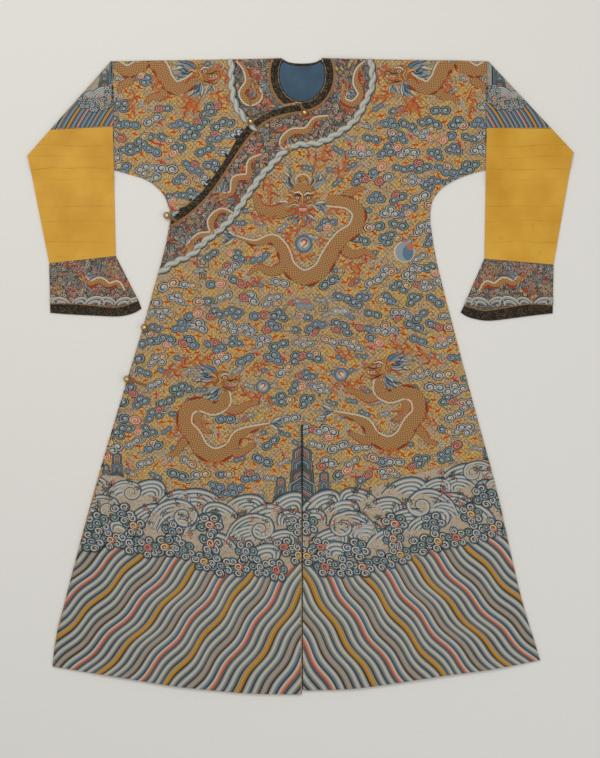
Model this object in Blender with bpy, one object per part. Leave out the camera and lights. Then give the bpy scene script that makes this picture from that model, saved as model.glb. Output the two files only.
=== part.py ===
"""Chinese dragon robe, laid flat on its back with both sleeves folded over to the front.

The robe is cut as the real one is: each half of the body is one length of lined silk that runs from the
front hem over the shoulder to the back hem, with the top of the sleeve in one with it.  The left half's
front is the inner lap, and the overlap panel lies on it, sewn to the right half at the centre front.
Facings, bindings and braid lie on those panels, and each sleeve is a wave band, a plain length and a
flared cuff, each with a front and a back leaf.

Sizes are in millimetres until they are placed.  x runs to the right from the centre front, depth runs
down from the shoulder line, and z runs up from the surface that the robe lies on.
"""

import math

import bmesh
import bpy

MM = 0.001

# Cloth and layers
BODY_CLOTH = 1.4
SLEEVE_CLOTH = 1.2
FACING_CLOTH = 0.8
BINDING_CLOTH = 1.0
BRAID_HEIGHT = 1.4
GAP = 0.3
INNER_LAP_Z = BODY_CLOTH + GAP
OUTER_FRONT_Z = INNER_LAP_Z + BODY_CLOTH + GAP
ON_INNER_LAP_Z = OUTER_FRONT_Z
ON_OUTER_FRONT_Z = OUTER_FRONT_Z + BODY_CLOTH + GAP

# Body
ROBE_LENGTH = 1427.0
ARMHOLE_TOP = 248.0
WAIST = 364.0
SHOULDER_SLOPE = 6.0
SEAM_HALF_GAP = 0.15
SLIT_TOP = 864.0
SLIT_FULL = 960.0
SLIT_HALF_GAP = 2.0
BACK_HEM_SET_IN = 3.0
OUTER_EDGE_SET_IN = 1.0
SIDE_BUTTON_STEP = 3.0
SIDE_BUTTON_DEPTH = 716.0
EDGE_SOFTENING = 80.0

# Neck: an ellipse in the front, a shallow dip in the back
NECK_CENTRE = 36.0
NECK_HALF_WIDTH = 53.5
NECK_HALF_HEIGHT = 62.0
BACK_NECK_DEPTH = 12.0
BINDING_WIDTH = 17.0
BRAID_WIDTH = 4.5
BACK_BINDING_WIDTH = 5.0
LINING_SET_IN = 2.5

# Width of each half at each depth, below the armhole's corner.  Columns: depth, distance from the centre.
LEFT_SIDE = [
    (248, 421), (257, 389), (270, 349), (284, 330), (297, 316), (311, 307), (324, 302), (342, 298),
    (364, 297), (392, 301.5), (432, 310.5), (513, 333), (594, 355.5), (765, 407), (954, 463), (1224, 535),
    (1305, 555), (1364, 561),
]
RIGHT_SIDE = [
    (248, 411), (257, 377), (270, 344), (284, 320), (297, 306), (311, 296), (324, 291), (342, 288.5),
    (364, 288), (392, 292), (432, 298), (513, 317), (594, 338), (765, 383), (954, 434), (1224, 497),
    (1305, 522), (1350, 535.5),
]
# The hem's depth along each half.  Columns: distance from the centre, depth.
LEFT_HEM = [(0, 1427), (83, 1426), (260, 1412), (429, 1386), (561, 1364)]
RIGHT_HEM = [(0, 1418.5), (89, 1416), (190, 1405), (306, 1387), (423, 1371.5), (535.5, 1350)]
SLEEVE_SEAM_TOP = {"left": 424.5, "right": 414.5}

# Soft flutes of the skirt.  Columns: share of the half's width, half width as a share, height, first depth.
LEFT_FLUTES = [(0.22, 0.12, 1.6, 620), (0.50, 0.11, 2.4, 520), (0.76, 0.12, 1.9, 700)]
RIGHT_FLUTES = [(0.25, 0.12, 1.9, 560), (0.54, 0.12, 2.6, 640), (0.80, 0.09, 1.5, 820)]
FLUTE_FADE = 420.0

# The overlap's edge, from the neck to under the arm.  Columns: depth, distance left of the centre.
OVERLAP_EDGE = [
    (98, 0), (101.5, 22), (104.5, 38), (110, 56), (118, 76), (131, 99), (147, 122), (183, 150),
    (201, 160), (250, 191), (296, 226), (326, 258), (345, 281), (364, 296),
]
# Curves over the outer front.  Columns: x, depth.
OVERLAP_BINDING_LOWER = [
    (0, 115), (-38, 121), (-72, 132), (-97, 148), (-127, 181), (-157, 225), (-189, 274), (-219, 312),
    (-254, 345), (-284, 365), (-296, 371),
]
OVERLAP_FACING_LOWER = [
    (0, 196), (-24, 203), (-66, 238), (-97, 269), (-127, 319), (-161, 355), (-201, 394), (-240, 428),
    (-279, 453), (-320, 476),
]
RIGHT_FACING_OUTER = [
    (157, -1), (158, 40), (160, 72), (144, 99), (129, 126), (109, 156), (84, 170), (47, 183),
    (25, 190), (0, 196),
]
LEFT_FACING_OUTER = [(-164, 0), (-161, 41), (-160, 72), (-150, 101), (-134, 122), (-116, 136)]
LEFT_FACING_FOOT = (-47, 103.5)

# Sleeves, folded.  Each point is (x, depth); the crease runs from shoulder to elbow.
SLEEVES = {
    "left": {
        "shoulder": (-425, 2), "elbow": (-615, 217), "underarm": (-421.5, 248),
        "band_inner": (-425, 150), "wrist_inner": (-418.5, 441.5), "wrist_outer": (-568.5, 458),
        "cuff_inner": [(-418.5, 441.5), (-403, 472), (-388, 502), (-367, 543)],
        "cuff_outer": [(-568.5, 458), (-568, 490), (-567, 520), (-566.5, 550)],
        "cuff_foot": [(-566.5, 550), (-518, 550), (-469, 553.5), (-427, 557.5), (-402, 555), (-367, 543)],
        "band_foot": [(-566, 569), (-518, 572.5), (-469, 575), (-419, 577), (-394, 574), (-373, 567), (-361, 559)],
    },
    "right": {
        "shoulder": (415, 3), "elbow": (608, 209), "underarm": (411.5, 248),
        "band_inner": (415, 153), "wrist_inner": (410, 447.5), "wrist_outer": (565.5, 461),
        "cuff_inner": [(410, 447.5), (396, 480), (381, 514), (364, 553.5)],
        "cuff_outer": [(565.5, 461), (565, 492), (564.5, 522), (564, 553)],
        "cuff_foot": [(564, 553), (514, 550.5), (473, 556), (430, 563), (407, 564.5), (364, 553.5)],
        "band_foot": [(563.5, 570), (523, 574.5), (473, 581), (432, 586), (407, 586), (374, 578.5), (357, 568)],
    },
}
CREASE_SOFTNESS = 1.5
SEAM_PULL = 0.6
SLEEVE_CLEAR = 18.0
SLEEVE_SETTLE = 30.0
SEAM_LEAN = {"left": 0.98, "right": 0.958}
CUFF_BRAID_WIDTH = 2.4

# Buttons and their loops.  name: (x, depth, z of the ball's centre)
BALL_RADIUS = 5.4
CORD_RADIUS = 1.1
BUTTONS = {
    "neck": (5.9, 119.5, 12.2),
    "chest": (-115.5, 139.5, 11.6),
    "underarm": (-303.5, 350.5, 9.2),
    "waist": (-354.0, 602.0, 10.6),
    "side": (-393.0, 718.0, 10.6),
}
# Each loop runs from its foot round the ball's shank.  name: (foot x, foot depth)
LOOP_FEET = {
    "neck": (-3.5, 101.5),
    "chest": (-116.5, 75.0),
    "underarm": (-277.0, 366.5),
    "waist": (-327.0, 611.0),
    "side": (-350.0, 732.0),
}
# The chest button's own strap, from its foot on the overlap up to the button.  Columns: x, depth.
CHEST_STRAP = [(-100.0, 182.0), (-99.8, 170.0), (-100.2, 158.0), (-102.5, 152.0), (-105.0, 148.5)]

COLOURS = {
    "ground silk": (0.56, 0.38, 0.12, 1, 0.55),
    "plain yellow silk": (0.73, 0.43, 0.07, 1, 0.45),
    "blue facing": (0.045, 0.06, 0.10, 1, 0.6),
    "dark brocade": (0.035, 0.025, 0.018, 1, 0.6),
    "gold braid": (0.45, 0.25, 0.08, 1, 0.5),
    "blue lining": (0.07, 0.14, 0.25, 1, 0.5),
    "wave band": (0.35, 0.38, 0.42, 1, 0.55),
}


def clear_scene():
    for item in list(bpy.data.objects):
        bpy.data.objects.remove(item)


def material(name, metallic=0.0):
    """The named finish, made once."""
    found = bpy.data.materials.get(name)
    if found:
        return found
    made = bpy.data.materials.new(name)
    made.use_nodes = True
    shader = made.node_tree.nodes["Principled BSDF"]
    red, green, blue, alpha, roughness = COLOURS[name]
    shader.inputs["Base Color"].default_value = (red, green, blue, alpha)
    shader.inputs["Roughness"].default_value = roughness
    shader.inputs["Metallic"].default_value = metallic
    return made


def ease(share):
    """0 to 1 with level ends."""
    share = min(1.0, max(0.0, share))
    return share * share * (3 - 2 * share)


def mix(a, b, share):
    return a + (b - a) * share


def along_table(table, at):
    """The second column at this value of the first, on a smooth curve with no overshoot."""
    if at <= table[0][0]:
        return table[0][1]
    if at >= table[-1][0]:
        return table[-1][1]
    steps = [b[0] - a[0] for a, b in zip(table, table[1:])]
    slopes = [(b[1] - a[1]) / step for a, b, step in zip(table, table[1:], steps)]
    tangents = [slopes[0]]
    for before, after in zip(slopes, slopes[1:]):
        tangents.append(0.0 if before * after <= 0 else 2 * before * after / (before + after))
    tangents.append(slopes[-1])
    i = max(k for k in range(len(steps)) if table[k][0] <= at)
    h, t = steps[i], (at - table[i][0]) / steps[i]
    return (
        table[i][1] * (1 + 2 * t) * (1 - t) ** 2
        + tangents[i] * h * t * (1 - t) ** 2
        + table[i + 1][1] * t * t * (3 - 2 * t)
        + tangents[i + 1] * h * t * t * (t - 1)
    )


def smooth_line(points, stations):
    """This many points, evenly spaced, on a smooth curve through the given ones."""
    fine = []
    padded = [points[0], *points, points[-1]]
    for p0, p1, p2, p3 in zip(padded, padded[1:], padded[2:], padded[3:]):
        for k in range(12):
            t = k / 12
            fine.append(tuple(
                0.5 * (2 * b + (c - a) * t + (2 * a - 5 * b + 4 * c - d) * t * t
                       + (3 * b - a - 3 * c + d) * t ** 3)
                for a, b, c, d in zip(p0, p1, p2, p3)
            ))
    fine.append(tuple(points[-1]))
    lengths = [0.0]
    for a, b in zip(fine, fine[1:]):
        lengths.append(lengths[-1] + math.dist(a, b))
    even, k = [], 0
    for i in range(stations):
        target = lengths[-1] * i / (stations - 1)
        while k < len(fine) - 2 and lengths[k + 1] < target:
            k += 1
        span = max(lengths[k + 1] - lengths[k], 1e-9)
        share = (target - lengths[k]) / span
        even.append(tuple(mix(a, b, share) for a, b in zip(fine[k], fine[k + 1])))
    return even


def place(x, depth, z):
    """A point of the garment in metres, with the neck towards +Y."""
    return (x * MM, -depth * MM, z * MM)


def cloth_wall(name, outside, inside, finish):
    """A closed wall between two grids of points.  Points that coincide become one."""
    mesh = bpy.data.meshes.new(name)
    shape = bmesh.new()
    known = {}

    def vertex(layer, point):
        key = (layer, *(round(value, 3) for value in point))
        if key not in known:
            known[key] = shape.verts.new(place(*point))
        return known[key]

    def face(*corners):
        distinct = list(dict.fromkeys(corners))
        if len(distinct) > 2:
            shape.faces.new(distinct)

    grids = [[[vertex(layer, p) for p in row] for row in grid] for layer, grid in enumerate((outside, inside))]
    rows, columns = len(outside), len(outside[0])
    for grid in grids:
        for i in range(rows - 1):
            for j in range(columns - 1):
                face(grid[i][j], grid[i][j + 1], grid[i + 1][j + 1], grid[i + 1][j])
    border = [(0, j) for j in range(columns)]
    border += [(i, columns - 1) for i in range(1, rows)]
    border += [(rows - 1, j) for j in range(columns - 2, -1, -1)]
    border += [(i, 0) for i in range(rows - 2, 0, -1)]
    outer, inner = grids
    for (i, j), (k, m) in zip(border, border[1:] + border[:1]):
        face(outer[i][j], outer[k][m], inner[k][m], inner[i][j])
    bmesh.ops.recalc_face_normals(shape, faces=shape.faces)
    shape.to_mesh(mesh)
    shape.free()
    mesh.shade_smooth()
    mesh.set_sharp_from_angle(angle=math.radians(40))
    mesh.materials.append(material(finish))
    item = bpy.data.objects.new(name, mesh)
    bpy.context.scene.collection.objects.link(item)
    return item


# ---- the body's two halves and the overlap --------------------------------------------------------------

def side_width(side, depth):
    """Distance from the centre to the side edge."""
    table = LEFT_SIDE if side == "left" else RIGHT_SIDE
    if depth < ARMHOLE_TOP:
        return mix(SLEEVE_SEAM_TOP[side], table[0][1], max(0.0, depth) / ARMHOLE_TOP)
    return along_table(table, depth)


def centre_gap(depth):
    """Half the gap at the centre front: a seam, then a slit that opens towards the hem."""
    return mix(SEAM_HALF_GAP, SLIT_HALF_GAP, ease((depth - SLIT_TOP) / (SLIT_FULL - SLIT_TOP)))


def neck_edge(depth):
    """Half the width of the front neck opening."""
    share = (depth - NECK_CENTRE) / NECK_HALF_HEIGHT
    return NECK_HALF_WIDTH * math.sqrt(max(0.0, 1 - share * share))


def back_neck_edge(depth):
    share = depth / BACK_NECK_DEPTH
    return neck_edge(0) * math.sqrt(max(0.0, 1 - share * share))


def shoulder_shift(x, depth):
    """The shoulder line rises a little towards the neck."""
    slope = SHOULDER_SLOPE * ((abs(x) - 60) / 365 - 0.5)
    return slope * (1 - min(1.0, max(0.0, depth) / ARMHOLE_TOP))


def flute_height(side, share, depth):
    """How far the skirt's soft flutes lift the cloth here."""
    flutes = LEFT_FLUTES if side == "left" else RIGHT_FLUTES
    return sum(
        height * math.exp(-(((share - middle) / half) ** 2)) * ease((depth - first) / FLUTE_FADE)
        for middle, half, height, first in flutes
    )


def front_underside(side, x, depth):
    """Height of the underside of the outer front."""
    width = side_width(side, depth)
    share = min(1.0, abs(x) / width)
    flutes = flute_height(side, share, depth) * ease((width - abs(x)) / EDGE_SOFTENING)
    if side == "left":
        return OUTER_FRONT_Z + flutes
    lift = (OUTER_FRONT_Z - INNER_LAP_Z) * ease((width - abs(x)) / EDGE_SOFTENING)
    return INNER_LAP_Z + lift + flutes


def upper_depths():
    """Rows from the shoulder to the waist: close at the neck and in the armhole's curve."""
    start = math.asin(-NECK_CENTRE / NECK_HALF_HEIGHT)
    turns = [mix(start, math.pi / 2, k / 9) for k in range(1, 10)]
    neck = [NECK_CENTRE + NECK_HALF_HEIGHT * math.sin(turn) for turn in turns]
    chest = [mix(neck[-1], ARMHOLE_TOP, k / 4) for k in range(1, 5)]
    armhole = [mix(ARMHOLE_TOP, WAIST, (k / 14) ** 1.25) for k in range(1, 15)]
    return neck + chest + armhole


def across(side, inner, outer, columns):
    """Signed x of each column of a row."""
    sign = -1 if side == "left" else 1
    return [sign * mix(inner, outer, j / columns) for j in range(columns + 1)]


def skirt_rows(side, inner_at, set_in, columns, rows, hem_set_in=0.0):
    """Rows from the waist to the hem.  The last row is the hem's curve."""
    hem, sides = (LEFT_HEM, LEFT_SIDE) if side == "left" else (RIGHT_HEM, RIGHT_SIDE)
    corner = sides[-1][0] - hem_set_in
    feet = across(side, inner_at(ROBE_LENGTH), sides[-1][1], columns)
    made = []
    for i in range(1, rows + 1):
        down = i / rows
        edge = mix(WAIST, corner, down)
        xs = across(side, inner_at(edge), side_width(side, edge) - set_in(edge), columns)
        made.append([
            (x, mix(WAIST, along_table(hem, abs(foot)) - hem_set_in, down)) for x, foot in zip(xs, feet)
        ])
    return made


def body_half(side, name, columns):
    """Front and back of one half in one wall, folded at the shoulder."""
    skirt = 22
    front_z = {
        "left": lambda x, depth: INNER_LAP_Z,
        "right": lambda x, depth: front_underside("right", x, depth),
    }[side]
    inner_front = {"left": lambda depth: GAP, "right": centre_gap}[side]
    no_set_in = lambda depth: 0.0  # noqa: E731

    front = []
    for depth in upper_depths():
        inner = neck_edge(depth) if depth < NECK_CENTRE + NECK_HALF_HEIGHT - 0.01 else inner_front(depth)
        xs = across(side, inner, side_width(side, depth), columns)
        front.append([(x, depth + shoulder_shift(x, depth)) for x in xs])
    front += skirt_rows(side, inner_front, no_set_in, columns, skirt)

    back_depths = [BACK_NECK_DEPTH * math.sin(math.radians(turn)) for turn in (30, 50, 70, 90)]
    back = []
    for depth in back_depths + [d for d in upper_depths() if d > BACK_NECK_DEPTH + 4]:
        inner = max(SEAM_HALF_GAP, back_neck_edge(depth)) if depth < BACK_NECK_DEPTH else SEAM_HALF_GAP
        xs = across(side, inner, side_width(side, depth), columns)
        back.append([(x, depth + shoulder_shift(x, depth)) for x in xs])
    back += skirt_rows(side, lambda depth: SEAM_HALF_GAP, no_set_in, columns, skirt, BACK_HEM_SET_IN)

    outside, inside = [], []
    for row in reversed(front):
        outside.append([(x, d, front_z(x, d) + BODY_CLOTH) for x, d in row])
        inside.append([(x, d, front_z(x, d)) for x, d in row])
    fold = across(side, neck_edge(0), SLEEVE_SEAM_TOP[side], columns)
    for turn in (90, 45, 0, -45, -90):
        c, s = math.cos(math.radians(turn)), math.sin(math.radians(turn))
        for grid, wall in ((outside, 0.0), (inside, BODY_CLOTH)):
            grid.append([])
            for x in fold:
                radius = (front_z(x, 0) + BODY_CLOTH) / 2
                depth = shoulder_shift(x, 0) + radius - (radius - wall) * c
                grid[-1].append((x, depth, radius + (radius - wall) * s))
    for row in back:
        outside.append([(x, d, 0.0) for x, d in row])
        inside.append([(x, d, BODY_CLOTH) for x, d in row])
    return cloth_wall(name, outside, inside, "ground silk")


def overlap_side(depth):
    """The overlap's outer edge: its cut edge above the waist, the side edge below."""
    if depth < WAIST:
        return along_table(OVERLAP_EDGE, depth)
    step = SIDE_BUTTON_STEP * ease((depth - SIDE_BUTTON_DEPTH) / 6)
    return side_width("left", depth) - OUTER_EDGE_SET_IN - step


def overlap_panel(columns):
    """The outer lap: from the centre front seam to the curved edge and the left side."""
    top, rows = OVERLAP_EDGE[0][0] + 0.8, []
    depths = [mix(top, 131, (k / 8) ** 1.3) for k in range(9)]
    depths += [mix(131, WAIST, k / 12) for k in range(1, 13)]
    for depth in depths:
        inner = min(centre_gap(depth), overlap_side(depth))
        rows.append([(x, depth) for x in across("left", inner, overlap_side(depth), columns)])
    set_in = lambda depth: side_width("left", depth) - overlap_side(max(depth, WAIST))  # noqa: E731
    rows += skirt_rows("left", centre_gap, set_in, columns, 22)
    outside = [[(x, d, front_underside("left", x, d) + BODY_CLOTH) for x, d in row] for row in rows]
    inside = [[(x, d, front_underside("left", x, d)) for x, d in row] for row in rows]
    return cloth_wall("front_overlap", outside, inside, "ground silk")


# ---- what lies on the panels ----------------------------------------------------------------------------

def strip(name, edge_a, edge_b, finish, base_z, height, columns=1, stations=24, crown=0.0):
    """A flat strip of cloth or braid between two curves, standing on base_z.  Crown rounds its top."""
    first, second = smooth_line(edge_a, stations), smooth_line(edge_b, stations)
    top, bottom = [], []
    for (ax, ad), (bx, bd) in zip(first, second):
        top.append([])
        bottom.append([])
        for j in range(columns + 1):
            share = j / columns
            x, depth = mix(ax, bx, share), mix(ad, bd, share)
            floor = base_z(x, depth) if callable(base_z) else base_z
            round_off = crown * (1 - math.sin(math.pi * share))
            top[-1].append((x, depth, floor + height - round_off))
            bottom[-1].append((x, depth, floor))
    return cloth_wall(name, top, bottom, finish)


def neck_arc(side, out, end_turn=90.0, points=9):
    """Part of the neck's outline moved out, from the shoulder line to end_turn degrees."""
    sign = -1 if side == "left" else 1
    wide, high = NECK_HALF_WIDTH + out, NECK_HALF_HEIGHT + out
    start = math.degrees(math.asin(-NECK_CENTRE / high))
    turns = [math.radians(mix(start, end_turn, k / (points - 1))) for k in range(points)]
    arc = [(sign * wide * math.cos(turn), NECK_CENTRE + high * math.sin(turn)) for turn in turns]
    return [(x, d + shoulder_shift(x, d)) for x, d in arc]


def ended(arc, gap_x):
    """The arc with its last point on the centre seam's edge."""
    return arc[:-1] + [(gap_x, arc[-1][1])]


def neck_trims():
    """Facing, binding and braid round the neck, and the lining seen inside it."""
    after_binding = BINDING_WIDTH + 1.3 * GAP
    after_braid = after_binding + BRAID_WIDTH + 1.3 * GAP
    seam = SEAM_HALF_GAP
    on_outer, on_inner = ON_OUTER_FRONT_Z, ON_INNER_LAP_Z

    strip("neck_binding_right", ended(neck_arc("right", 1), seam), ended(neck_arc("right", BINDING_WIDTH), seam),
          "dark brocade", on_outer, BINDING_CLOTH)
    strip("neck_braid_right", ended(neck_arc("right", after_binding), seam),
          ended(neck_arc("right", after_binding + BRAID_WIDTH), seam), "gold braid", on_outer, BRAID_HEIGHT,
          columns=4, crown=0.7)
    strip("neck_facing_right", ended(neck_arc("right", after_braid), seam), ended(RIGHT_FACING_OUTER, seam),
          "blue facing", on_outer, FACING_CLOTH, columns=2)

    strip("neck_binding_left", neck_arc("left", 1, 76), neck_arc("left", BINDING_WIDTH, 56), "dark brocade",
          on_inner, BINDING_CLOTH)
    strip("neck_braid_left", neck_arc("left", after_binding, 54), neck_arc("left", after_binding + BRAID_WIDTH, 51),
          "gold braid", on_inner, BRAID_HEIGHT, columns=4, crown=0.7)
    strip("neck_facing_left", neck_arc("left", after_braid, 48)[:-1] + [LEFT_FACING_FOOT], LEFT_FACING_OUTER,
          "blue facing", on_inner, FACING_CLOTH, columns=2)

    rim = [math.radians(turn) for turn in range(-84, 85, 12)]
    dip = [(0.94 * neck_edge(0) * math.sin(t), 0.4 + BACK_NECK_DEPTH * math.cos(t)) for t in rim]
    edge = [(x, d + shoulder_shift(x, d)) for x, d in dip]
    low = [(0.96 * x, d + BACK_BINDING_WIDTH) for x, d in edge]
    strip("neck_binding_back", edge, low, "dark brocade", BODY_CLOTH + GAP, FACING_CLOTH)
    lining_top = [(x, d + 2 * GAP) for x, d in low]
    half_foot = [p for p in neck_arc("left", -LINING_SET_IN) if p[1] > lining_top[0][1] + 3]
    lining_foot = half_foot + [(-x, d) for x, d in reversed(half_foot[:-1])]
    strip("neck_lining", lining_top, lining_foot, "blue lining", BODY_CLOTH + GAP, FACING_CLOTH, columns=3)


def moved_off(points, dx, dd):
    return [(x + dx, d + dd) for x, d in points]


def overlap_trims():
    """Binding, braid and facing along the overlap."""
    edge = [(-x, depth) for depth, x in OVERLAP_EDGE]
    edge[0] = (-SEAM_HALF_GAP, edge[0][1] + 1)
    edge[1:] = moved_off(edge[1:], 0.6, 0.8)
    binding_low = ended(list(reversed(OVERLAP_BINDING_LOWER)), -SEAM_HALF_GAP)
    binding_low.reverse()
    braid_top = moved_off(binding_low, GAP * 0.8, GAP * 1.1)
    braid_low = moved_off(binding_low, 0.6 * BRAID_WIDTH, 0.95 * BRAID_WIDTH)
    facing_top = moved_off(braid_low, GAP * 0.8, GAP * 1.1)
    for line in (braid_top, braid_low, facing_top):
        line[0] = (-SEAM_HALF_GAP, line[0][1])
    facing_top[-1] = (facing_top[-1][0] - 3, facing_top[-1][1] + 3)
    facing_low = [(-SEAM_HALF_GAP, OVERLAP_FACING_LOWER[0][1]), *OVERLAP_FACING_LOWER[1:]]
    strip("overlap_binding", edge, binding_low, "dark brocade", ON_OUTER_FRONT_Z, BINDING_CLOTH, stations=44)
    strip("overlap_braid", braid_top, braid_low, "gold braid", ON_OUTER_FRONT_Z, BRAID_HEIGHT, columns=4,
          stations=44, crown=0.7)
    strip("overlap_facing", facing_top, facing_low, "blue facing", ON_OUTER_FRONT_Z, FACING_CLOTH, columns=3,
          stations=40)


# ---- sleeves --------------------------------------------------------------------------------------------

STACK_TOP = 2 * SLEEVE_CLOTH + GAP
FOLD_CENTRE_Z = STACK_TOP + GAP / 2
FOLD_LENGTH = math.pi * CREASE_SOFTNESS
FOLDED_DROP = STACK_TOP + GAP
LEAF_Z = {"back": 0.0, "front": SLEEVE_CLOTH + GAP}


class Crease:
    """The sleeve's fold line.  s is the distance past it before folding, t the distance along it."""

    def __init__(self, side):
        points = SLEEVES[side]
        self.start = points["shoulder"]
        dx, dd = points["elbow"][0] - self.start[0], points["elbow"][1] - self.start[1]
        self.length = math.hypot(dx, dd)
        self.along = (dx / self.length, dd / self.length)
        out = (self.along[1], -self.along[0]) if side == "right" else (-self.along[1], self.along[0])
        self.out = out
        ux, ud = points["underarm"][0] - points["elbow"][0], points["underarm"][1] - points["elbow"][1]
        size = math.hypot(ux, ud)
        self.hem_at = points["elbow"]
        self.hem_normal = (-abs(ud) / size if side == "left" else abs(ud) / size, abs(ux) / size)

    def flat(self, point):
        """(s, t) before folding of a point of the unfolded part."""
        x, d = point[0] - self.start[0], point[1] - self.start[1]
        return (x * self.out[0] + d * self.out[1], x * self.along[0] + d * self.along[1])

    def unfolded(self, point):
        """(s, t) before folding of a point seen on the folded part."""
        s, t = self.flat(point)
        return (FOLD_LENGTH - s, t)

    def fold(self, s, t, z):
        """Where a point of the flat sleeve lies once folded and settled on the table."""
        radius = FOLD_CENTRE_Z - z
        if s <= 0:
            across_fold, height = s, z
        elif s < FOLD_LENGTH:
            turn = s / CREASE_SOFTNESS
            across_fold, height = radius * math.sin(turn), FOLD_CENTRE_Z - radius * math.cos(turn)
        else:
            across_fold, height = FOLD_LENGTH - s, FOLD_CENTRE_Z + radius
        x = self.start[0] + across_fold * self.out[0] + t * self.along[0]
        d = self.start[1] + across_fold * self.out[1] + t * self.along[1]
        if s >= FOLD_LENGTH:
            height -= self.settled(x, d)
        return (x, d, height)

    def settled(self, x, d):
        """How far the folded part has come down past the edge of what it lies on."""
        past = (x - self.hem_at[0]) * self.hem_normal[0] + (d - self.hem_at[1]) * self.hem_normal[1]
        return FOLDED_DROP * ease((past - SLEEVE_CLEAR) / SLEEVE_SETTLE)


def chord(outline, s):
    """The stretch of the line at this s inside the outline, as (low t, high t)."""
    cuts = []
    for (s0, t0), (s1, t1) in zip(outline, outline[1:] + outline[:1]):
        if (s0 - s) * (s1 - s) <= 0 and s0 != s1:
            cuts.append(mix(t0, t1, (s - s0) / (s1 - s0)))
    return min(cuts), max(cuts)


def leaf(name, crease, outline, which, finish, columns):
    """One leaf of a sleeve section, cut to its flat outline and folded over the crease."""
    low = min(s for s, _ in outline)
    high = max(s for s, _ in outline)
    past = high - FOLD_LENGTH
    steps = max(2, round(past / 12))
    wanted = [s for s, _ in outline]
    wanted += [FOLD_LENGTH * k / 6 for k in range(7)]
    wanted += [FOLD_LENGTH + past * k / steps for k in range(steps + 1)]
    stations = [low]
    for s in sorted(s for s in wanted if low <= s <= high):
        if s - stations[-1] > 0.05:
            stations.append(s)
    layers = []
    for z in (LEAF_Z[which] + SLEEVE_CLOTH, LEAF_Z[which]):
        grid = []
        for s in stations:
            t0, t1 = chord(outline, s)
            grid.append([crease.fold(s, mix(t0, t1, j / columns), z) for j in range(columns + 1)])
        layers.append(grid)
    return cloth_wall(name, layers[0], layers[1], finish)


def pulled_in(outline, gap):
    """The outline moved in by half a seam's gap, towards its middle."""
    middle = [sum(values) / len(outline) for values in zip(*outline)]
    made = []
    for s, t in outline:
        reach = math.dist((s, t), middle)
        made.append((mix(s, middle[0], gap / reach), mix(t, middle[1], gap / reach)))
    return made


def sleeve(side):
    """The wave band and the plain length of one sleeve, front and back leaves."""
    points, crease = SLEEVES[side], Crease(side)
    shoulder, underarm = crease.flat(points["shoulder"]), crease.flat(points["underarm"])
    band_inner = crease.unfolded(points["band_inner"])
    elbow = (0.0, crease.length)
    crossing = band_inner[1] + band_inner[0] * SEAM_LEAN[side]
    slope_seam = (band_inner[1] - crossing) / band_inner[0]
    slope_under = (elbow[1] - underarm[1]) / (elbow[0] - underarm[0])
    foot_s = (crossing - elbow[1]) / (slope_under - slope_seam)
    band_under = (foot_s, elbow[1] + slope_under * foot_s)
    wrist_inner, wrist_outer = crease.unfolded(points["wrist_inner"]), crease.unfolded(points["wrist_outer"])
    elbow_top = (FOLD_LENGTH, elbow[1] + 2)
    band = [shoulder, band_inner, band_under, underarm]
    plain = [band_inner, band_under, elbow, elbow_top, wrist_outer, wrist_inner]
    for which in ("back", "front"):
        leaf(f"{side}_sleeve_band_{which}", crease, pulled_in(band, SEAM_PULL), which, "wave band", 6)
        leaf(f"{side}_sleeve_plain_{which}", crease, pulled_in(plain, SEAM_PULL), which, "plain yellow silk", 16)


def cuff(side):
    """The flared cuff with its binding, front leaf below and back leaf above, resting on the table."""
    points = SLEEVES[side]
    stations, rows = 22, 5
    inner = smooth_line(points["cuff_inner"], rows + 1)
    outer = smooth_line(points["cuff_outer"], rows + 1)
    foot = smooth_line(points["cuff_foot"], stations + 1)
    head_a, head_b = points["wrist_outer"], points["wrist_inner"]
    head = [(mix(head_a[0], head_b[0], k / stations), mix(head_a[1], head_b[1], k / stations))
            for k in range(stations + 1)]
    for which in ("front", "back"):
        z = LEAF_Z["back"] if which == "front" else LEAF_Z["front"]
        grid = []
        for i in range(rows + 1):
            down, row = i / rows, []
            for k in range(stations + 1):
                over = k / stations
                x = mix(head[k][0], foot[k][0], down)
                d = mix(head[k][1], foot[k][1] - 0.3, down)
                for edge, share, end in ((outer, 1 - over, 0), (inner, over, stations)):
                    straight_x = mix(head[end][0], foot[end][0], down)
                    straight_d = mix(head[end][1], foot[end][1] - 0.3, down)
                    x += (edge[i][0] - straight_x) * share
                    d += (edge[i][1] - straight_d) * share * (0 < i < rows)
                row.append((x, d))
            grid.append(row)
        top = [[(x, d, z + SLEEVE_CLOTH) for x, d in row] for row in grid]
        low = [[(x, d, z) for x, d in row] for row in grid]
        cloth_wall(f"{side}_cuff_{which}", top, low, "blue facing")
        band_top = moved_off(points["cuff_foot"], 0, GAP)
        strip(f"{side}_cuff_binding_{which}", band_top, points["band_foot"], "dark brocade", z, SLEEVE_CLOTH,
              stations=stations + 1)
    braid_top = moved_off(points["cuff_foot"], 0, -CUFF_BRAID_WIDTH)
    strip(f"{side}_cuff_braid", braid_top, moved_off(points["cuff_foot"], 0, -0.4), "gold braid",
          STACK_TOP + GAP, 0.8, columns=2, stations=stations + 1, crown=0.3)


# ---- buttons --------------------------------------------------------------------------------------------

def ball_button(name):
    """A gilt ball."""
    x, depth, z = BUTTONS[name]
    bpy.ops.mesh.primitive_uv_sphere_add(segments=16, ring_count=9, radius=BALL_RADIUS * MM,
                                         location=place(x, depth, z))
    ball = bpy.context.object
    ball.name = f"button_{name}"
    ball.data.shade_smooth()
    ball.data.materials.append(material("gold braid", metallic=0.8))
    return ball


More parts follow.
